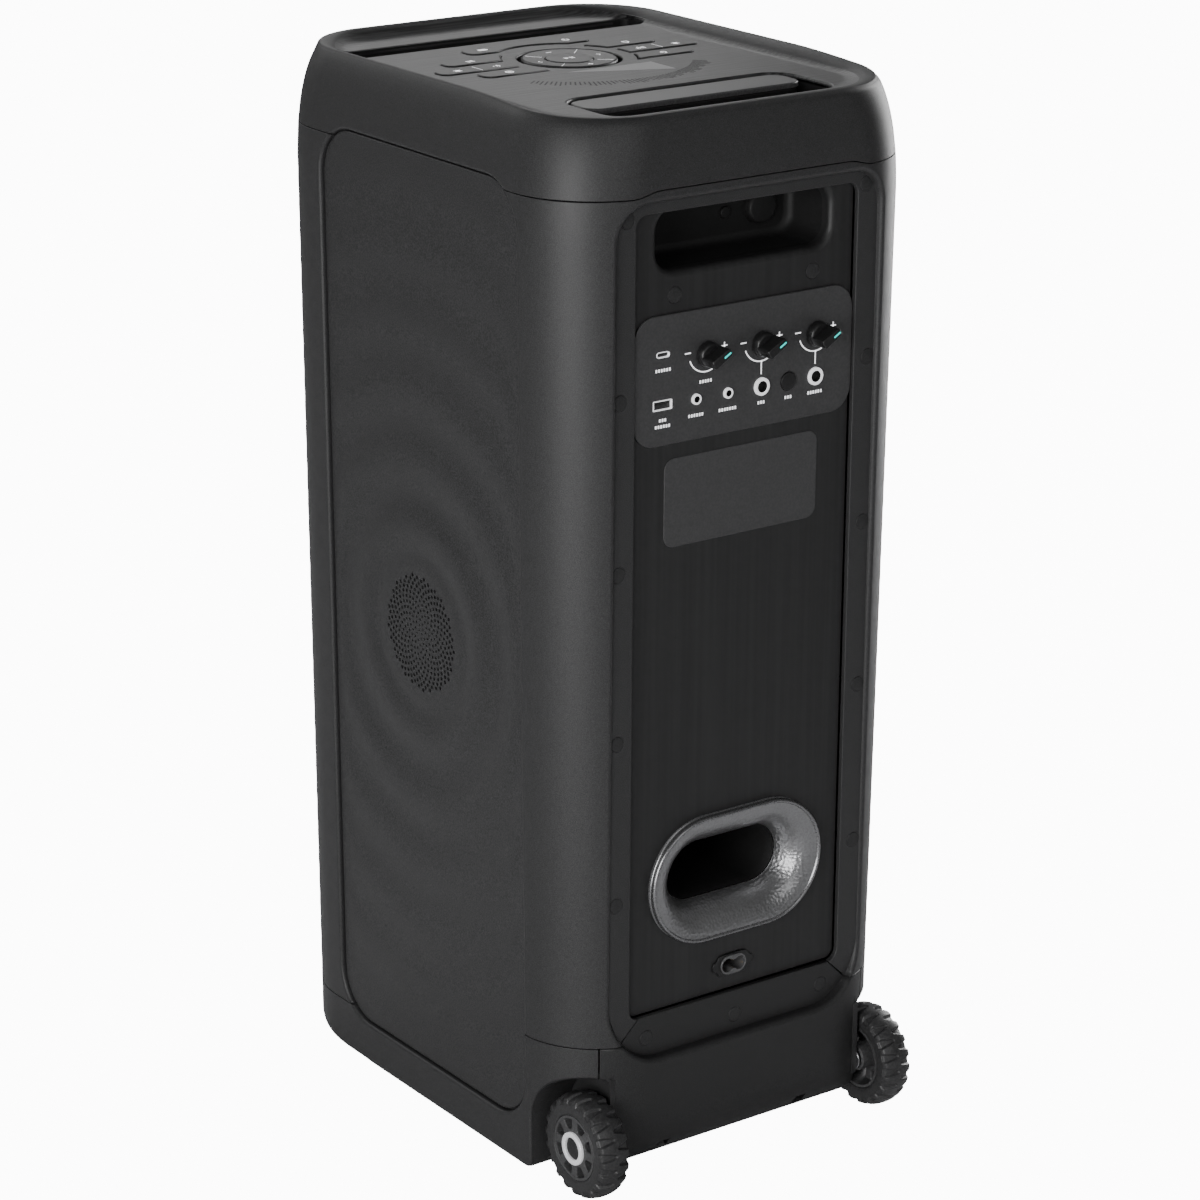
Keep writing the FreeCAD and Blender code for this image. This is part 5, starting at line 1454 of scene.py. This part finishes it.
def dial_ring():
    mesh = Mesh()
    z = DECK_Z + 0.5
    face = [(PLAY_R + 0.4, z - 0.7), (PLAY_R + 2.4, z - 0.55), (DIAL_R - 3.0, z - 0.25), (DIAL_R - 1.2, z)]
    ring = [(PLAY_R + 0.4, z - 5.5), (DIAL_R, z - 5.5), (DIAL_R, z - 0.9)] + face[::-1]
    lathe(mesh, (0, DIAL_Y, 0), (0, 0, 1), bevelled(ring, 0.5), n=128)
    radii, heights = zip(*face)

    def on_face(uv):
        rise = np.interp(np.linalg.norm(uv, axis=1), radii, heights)
        return np.column_stack([uv + (0, DIAL_Y), rise + MARK_UP])
    middle = (PLAY_R + DIAL_R) / 2
    splits = []
    for turn in (45, 135, 225, 315):
        ray = np.array((math.cos(math.radians(turn)), math.sin(math.radians(turn))))
        splits.append(np.linspace(PLAY_R + 2.6, DIAL_R - 2.2, 6)[:, None] * ray)
    marks(mesh, curved(on_face), splits, 0.25)
    signs = [[(-1.8, -middle), (1.8, -middle)], [(-1.8, middle), (1.8, middle)],
             [(0, middle - 1.8), (0, middle + 1.8)]]
    near, far = middle - 0.9, middle + 0.9
    for side in (1, -1):
        signs.append([(side * near, 1.7), (side * far, 0), (side * near, -1.7)])
    marks(mesh, curved(on_face), signs, 0.6)
    return mesh


def play_button():
    mesh = Mesh()
    z = DECK_Z + 0.2
    form = [(0, z - 5.2), (PLAY_R, z - 5.2), (PLAY_R, z), (PLAY_R - 2.0, z + 0.1), (0, z + 0.1)]
    lathe(mesh, (0, DIAL_Y, 0), (0, 0, 1), bevelled(form, 0.5), n=96)
    top = top_plane(z + 0.1 + MARK_UP)
    arrow = np.array([(3.4, -1.9), (3.4, 1.9), (0.3, 0)]) + (0, DIAL_Y)
    plate(mesh, top, arrow, depth=0.2, edge=0.0, slot=1)
    marks(mesh, top, [[(x, DIAL_Y - 1.8), (x, DIAL_Y + 1.8)] for x in (-1.0, -2.6)], 0.8)
    return mesh


def trolley_grip():
    mesh = Mesh()
    low, high = corner("trolley_grip", False), corner("trolley_grip", True)
    outline = rounded((low[0], high[0]), (low[1], high[1]), 10.0, 14)
    lid_t = 3.0
    plate(mesh, top_plane(high[2]), outline, depth=lid_t + 0.4, edge=1.2)
    # the body under the lid takes slot 1, the near-black finish: painted shade under the grip
    plate(mesh, top_plane(high[2] - lid_t), inward(outline, 0.8), depth=high[2] - low[2] - lid_t,
          edge=1.6, slot=1)
    return mesh


# ---------------------------------------------------------------- finishes
def finish(name, tone, rough, metal=0.0, grain=900.0, fleck=0.25, bump=0.12, stretch=(1, 1, 1),
           coat=0.0, cells=0.0, through=0.0, painted_glow=0.0):
    """Principled surface whose colour, roughness and fine relief follow one noise.

    tone is a linear grey or a colour; stretch pulls the noise into streaks; cells > 0 adds dimples; a glow
    above 0 makes the surface give off its own colour though it is no lamp: painted light.
    """
    tone = np.array(tone if np.iterable(tone) else (tone, tone, tone * 1.02), float)
    material = bpy.data.materials.new(name)
    material.use_nodes = True
    nodes, links = material.node_tree.nodes, material.node_tree.links
    shader = nodes["Principled BSDF"]
    where = nodes.new("ShaderNodeTexCoord")
    place = nodes.new("ShaderNodeMapping")
    place.inputs["Scale"].default_value = stretch
    noise = nodes.new("ShaderNodeTexNoise")
    noise.inputs["Scale"].default_value = grain
    noise.inputs["Detail"].default_value = 3.0
    ramp = nodes.new("ShaderNodeValToRGB")
    for stop, at, share in zip(ramp.color_ramp.elements, (0.36, 0.68), (1 - fleck, 1 + fleck)):
        stop.position = at
        stop.color = (*np.clip(tone * share, 0, 1), 1.0)
    sheen = nodes.new("ShaderNodeMapRange")
    sheen.inputs["To Min"].default_value = rough - 0.06
    sheen.inputs["To Max"].default_value = rough + 0.06
    relief = nodes.new("ShaderNodeBump")
    relief.inputs["Strength"].default_value = bump
    relief.inputs["Distance"].default_value = 0.0003
    links.new(where.outputs["Object"], place.inputs["Vector"])
    links.new(place.outputs["Vector"], noise.inputs["Vector"])
    links.new(noise.outputs["Fac"], ramp.inputs["Fac"])
    links.new(noise.outputs["Fac"], sheen.inputs["Value"])
    links.new(noise.outputs["Fac"], relief.inputs["Height"])
    links.new(ramp.outputs["Color"], shader.inputs["Base Color"])
    links.new(sheen.outputs["Result"], shader.inputs["Roughness"])
    links.new(relief.outputs["Normal"], shader.inputs["Normal"])
    if cells:
        dimples = nodes.new("ShaderNodeTexVoronoi")
        dimples.inputs["Scale"].default_value = cells
        dimples.inputs["Randomness"].default_value = 0.7
        pits = nodes.new("ShaderNodeBump")
        pits.inputs["Strength"].default_value = 0.45
        pits.inputs["Distance"].default_value = 0.0006
        links.new(where.outputs["Object"], dimples.inputs["Vector"])
        links.new(dimples.outputs["Distance"], pits.inputs["Height"])
        links.new(relief.outputs["Normal"], pits.inputs["Normal"])
        links.new(pits.outputs["Normal"], shader.inputs["Normal"])
    shader.inputs["Metallic"].default_value = metal
    shader.inputs["Coat Weight"].default_value = coat
    shader.inputs["Coat Roughness"].default_value = 0.12
    shader.inputs["Transmission Weight"].default_value = through
    # painted light: the surface gives off its own colour though it is no lamp
    if painted_glow:
        links.new(ramp.outputs["Color"], shader.inputs["Emission Color"])
        shader.inputs["Emission Strength"].default_value = painted_glow
    return material


HAIR_X, HAIR_Z = (0.03, 1, 1), (1, 1, 0.015)            # streaks along X and along Z
# tone and roughness, then what differs from the plain finish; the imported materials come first
FINISHES = {
    "casing_black": dict(tone=0.032, rough=0.5, grain=2000, fleck=0.45, bump=0.2),
    "deck_dark": dict(tone=0.032, rough=0.5, grain=2000, fleck=0.45, bump=0.2),
    "side_panel_black": dict(tone=0.032, rough=0.46, grain=1300, fleck=0.6, bump=0.35),
    "panel_black": dict(tone=0.017, rough=0.5, grain=320, fleck=0.2, bump=0.07, stretch=HAIR_Z),
    "plate_black": dict(tone=0.052, rough=0.42, grain=700, fleck=0.12, bump=0.06),
    "label_grey": dict(tone=0.054, rough=0.5, grain=800, fleck=0.12, bump=0.06),
    "port_grey": dict(tone=0.32, rough=0.32, metal=0.85, grain=900, fleck=0.1, bump=0.05, cells=460.0),
    "inlet_black": dict(tone=0.004, rough=0.3, grain=500, fleck=0.1, bump=0.03, coat=0.15),
    "brass_pin": dict(tone=(0.62, 0.42, 0.16), rough=0.28, metal=1.0, grain=900, fleck=0.12),
    # the socket collars: white, with a painted glow
    "socket_metal": dict(tone=0.88, rough=0.4, metal=0.1, grain=600, fleck=0.04, bump=0.03, painted_glow=0.7),
    "pot_metal": dict(tone=0.42, rough=0.4, metal=1.0, grain=700, fleck=0.15, bump=0.1),
    "knob_black": dict(tone=0.012, rough=0.34, grain=900, fleck=0.2, bump=0.1),
    "board_green": dict(tone=(0.02, 0.12, 0.05), rough=0.4, grain=260, fleck=0.4, bump=0.1),
    "cap_black": dict(tone=0.022, rough=0.5, grain=900, fleck=0.3, bump=0.2),
    "bright_steel": dict(tone=0.75, rough=0.2, metal=1.0, grain=700, fleck=0.08, bump=0.04),
    "tube_metal": dict(tone=0.5, rough=0.26, metal=1.0, grain=600, fleck=0.12, bump=0.05, stretch=HAIR_Z),
    "grip_dark": dict(tone=0.085, rough=0.42, grain=1000, fleck=0.2, bump=0.15),
    "hub_grey": dict(tone=0.065, rough=0.45, grain=900, fleck=0.25, bump=0.15),
    "tyre_rubber": dict(tone=0.034, rough=0.44, grain=800, fleck=0.3, bump=0.2),
    "foot_rubber": dict(tone=0.014, rough=0.7, grain=700, fleck=0.3, bump=0.3),
    "grille_steel": dict(tone=0.02, rough=0.42, metal=0.3, grain=900, fleck=0.3, bump=0.2),
    "baffle_black": dict(tone=0.012, rough=0.6, grain=700, fleck=0.3, bump=0.2),
    "basket_steel": dict(tone=0.05, rough=0.4, metal=0.8, grain=500, fleck=0.25, bump=0.1),
    "surround_rubber": dict(tone=0.014, rough=0.5, grain=600, fleck=0.2, bump=0.15),
    "diffuser": dict(tone=0.62, rough=0.45, grain=300, fleck=0.08, bump=0.05, through=0.3),
    "cone_black": dict(tone=0.03, rough=0.6, grain=240, fleck=0.35, bump=0.3),
    "battery_grey": dict(tone=0.16, rough=0.45, grain=400, fleck=0.15, bump=0.1),
    "pad_dark": dict(tone=0.036, rough=0.42, grain=900, fleck=0.3, bump=0.15),
    "deck_brushed": dict(tone=0.040, rough=0.42, metal=0.1, grain=700, fleck=0.7, bump=0.5, stretch=HAIR_X),
    "base_black": dict(tone=0.021, rough=0.52, grain=2000, fleck=0.45, bump=0.2),
    # the pocket's black, darkened further as painted shade deep in the carry pocket
    "pocket_black_and_shade": dict(tone=0.008, rough=0.6, grain=900, fleck=0.3, bump=0.15),
    "port_rim": dict(tone=0.30, rough=0.28, metal=0.9, grain=900, fleck=0.06, bump=0.03),
    # the white and teal print carries a painted glow
    "ink_white": dict(tone=0.85, rough=0.5, grain=900, fleck=0.05, bump=0.05, painted_glow=1.3),
    "ink_teal": dict(tone=(0.02, 0.72, 0.66), rough=0.4, grain=900, fleck=0.05, bump=0.05, painted_glow=0.8),
    # near-black: dark print for the fan bars, and painted shade in the deck's bay and groove and under the
    # grip's lid
    "ink_dark": dict(tone=0.008, rough=0.6, grain=900, fleck=0.2, bump=0.05),
    "patch_grey": dict(tone=0.22, rough=0.36, grain=900, fleck=0.1, bump=0.05),
    # near-black: the dark insides of the sockets, and painted shade deep in the bass port's duct
    "socket_black": dict(tone=0.004, rough=0.7, grain=700, fleck=0.2, bump=0.05),
    # the trim ring: pale, with a painted glow
    "trim_bright": dict(tone=0.85, rough=0.3, metal=0.3, grain=700, fleck=0.05, bump=0.03, painted_glow=0.35),
    "ring_grey": dict(tone=0.09, rough=0.25, grain=700, fleck=0.1, bump=0.05, coat=0.4),
}
LOOKS = {name: finish(name, **look) for name, look in FINISHES.items()}


# ---------------------------------------------------------------- pieces
# the carry pocket takes a finish darkened as painted shade
SPECIAL = {"carry_pocket": "pocket_black_and_shade", "base_rear_cover": "base_black"}


def place(name, mesh, body, *extra):
    """Stands a finished mesh in for the CAD node of that name; extra finishes are its slots 1, 2 ..."""
    looks = [SPECIAL.get(name, SLOT_OF[name]), *extra]
    mesh.build(name + "_skin", body, [LOOKS[look] for look in looks], name)


# what the cabinet carries: each function is named after its node and comes with its extra finishes
CABINET = {
    cabinet_shell: (), base_rear_cover: (), base_tray: (),
    top_cap: ("ink_dark", "patch_grey", "deck_brushed"),
    rear_panel: (), carry_pocket: (), control_plate: ("ink_white",), rating_plate: (),
    bass_port: ("socket_black", "port_rim"), mains_inlet: ("ring_grey",),
    audio_sockets: ("socket_black",),
    screw_caps: (), axle_caps: (), axle_washers: (), front_feet: (), front_grille: (),
}
for make, inks in CABINET.items():
    place(make.__name__, make(), "cabinet", *inks)
for name, side in (("right_side_panel", 1), ("left_side_panel", -1)):
    place(name, side_panel(side), "cabinet")
for name, socket in (("usb_c_socket", usb_socket(4.5, 1.65, 1.5, USB_C_Z, 0.35, (-0.35, 0.35))),
                     ("usb_a_socket", usb_socket(6.55, 2.85, 0.5, USB_A_Z, 0.45, (0.2, 1.6)))):
    place(name, socket, "cabinet", "socket_black")
for name, x in KNOBS.items():
    place(name, knob(x), name.replace("knob", "control"), "ink_teal")
place("pairing_button", pairing_button(), "pairing_key")
right_tyre, right_hub = tyre(), hub()
for side, turned in (("right", joined), ("left", mirrored)):
    place(side + "_tyre", turned(right_tyre), side + "_wheel")
    place(side + "_wheel_hub", turned(right_hub), side + "_wheel", "trim_bright")
for name in PADS:
    place(name, pad(name), name.replace("_button", "_key").replace("_bar", "_key"), "ink_white")
place("dial_ring", dial_ring(), "dial", "ink_white")
place("play_button", play_button(), "play_key", "ink_white")
place("trolley_grip", trolley_grip(), "grip", "ink_dark")
for node, piece in frame["nodes"].items():
    piece.data.materials.clear()
    piece.data.materials.append(LOOKS[SLOT_OF[node]])


# ---------------------------------------------------------------- floor, light and camera
def looking(azimuth, elevation, roll=0.0):
    """Axes (right, up, back) of something that looks at the object from azimuth and elevation."""
    az, el, roll = (math.radians(a) for a in (azimuth, elevation, roll))
    back = np.array((math.sin(az) * math.cos(el), -math.cos(az) * math.cos(el), math.sin(el)))
    right = unit(np.cross(-back, UP))
    up = np.cross(right, -back)
    return math.cos(roll) * right + math.sin(roll) * up, math.cos(roll) * up - math.sin(roll) * right, back


def pose_of(axes, at):
    rows = [[*(float(axis[i]) for axis in axes), float(at[i])] for i in range(3)]
    return Matrix([*rows, [0, 0, 0, 1]])


def add_object(name, data):
    thing = bpy.data.objects.new(name, data)
    bpy.context.scene.collection.objects.link(thing)
    return thing


def soft_light(name, azimuth, elevation, distance, width, height, power, aim=(0, 0, 0.33)):
    lamp = bpy.data.lights.new(name, "AREA")
    lamp.shape = "RECTANGLE"
    lamp.size, lamp.size_y, lamp.energy = width, height, power
    axes = looking(azimuth, elevation)
    thing = add_object(name, lamp)
    thing.matrix_world = pose_of(axes, np.array(aim) + axes[2] * distance)
    thing.visible_camera = False


WHITE = 14.0            # strength at which the camera sees the background as white


def seen_as(name, kind, shine, socket_in, share):
    """Nodes that show a plain white to the camera and mix it into the lit colour by share."""
    tree = kind.node_tree
    seen = tree.nodes.new("ShaderNodeLightPath")
    scale = tree.nodes.new("ShaderNodeMath")
    scale.operation = "MULTIPLY"
    scale.inputs[1].default_value = share
    white = tree.nodes.new("ShaderNodeEmission" if name == "floor" else "ShaderNodeBackground")
    white.inputs["Color"].default_value = (1, 1, 1, 1)
    white.inputs["Strength"].default_value = WHITE
    mix = tree.nodes.new("ShaderNodeMixShader")
    tree.links.new(seen.outputs["Is Camera Ray"], scale.inputs[0])
    tree.links.new(scale.outputs[0], mix.inputs["Fac"])
    tree.links.new(shine, mix.inputs[1])
    tree.links.new(white.outputs[0], mix.inputs[2])
    tree.links.new(mix.outputs[0], socket_in)


# azimuth, elevation, distance, width, height (m) and power (W)
LIGHTS = {"key": (121, 8, 2.3, 1.1, 1.3, 36), "fill": (176, 24, 2.4, 1.2, 1.4, 7),
          "rim": (284, 12, 2.0, 0.6, 1.5, 34), "deck_light": (330, 30, 2.2, 0.8, 0.5, 3.6),
          "front_light": (20, 35, 2.6, 1.6, 1.6, 14)}


def studio():
    size = 14.0
    corners = [(x * size, y * size, 0) for x, y in ((-1, -1), (1, -1), (1, 1), (-1, 1))]
    sheet = bpy.data.meshes.new("floor")
    sheet.from_pydata(corners, [], [(0, 1, 2, 3)])
    pale = finish("floor_pale", 0.72, 0.7, grain=3.0, fleck=0.02, bump=0.0)
    shader, output = pale.node_tree.nodes["Principled BSDF"], pale.node_tree.nodes["Material Output"]
    seen_as("floor", pale, shader.outputs[0], output.inputs["Surface"], 0.85)
    sheet.materials.append(pale)
    add_object("floor", sheet)
    world = bpy.data.worlds.new("studio")
    bpy.context.scene.world = world
    world.use_nodes = True
    air = world.node_tree.nodes["Background"]
    air.inputs["Color"].default_value = (1, 1, 1, 1)
    air.inputs["Strength"].default_value = 0.12
    seen_as("world", world, air.outputs[0], world.node_tree.nodes["World Output"].inputs["Surface"], 1.0)
    for name, lamp in LIGHTS.items():
        soft_light(name, *lamp)


CAMERA_AT = np.array((1262.5, 1746.2, 1046.7))
CAMERA_TURN = (144.111, 18.888, 0.361)                  # azimuth, elevation and roll
LENS, SENSOR = 112.58, 36.0


def add_camera():
    view = bpy.data.cameras.new("camera")
    view.lens, view.sensor_width = LENS, SENSOR
    thing = add_object("camera", view)
    thing.matrix_world = pose_of(looking(*CAMERA_TURN), CAMERA_AT * MM)
    return thing


studio()
camera = add_camera()
bpy.context.scene.camera = camera
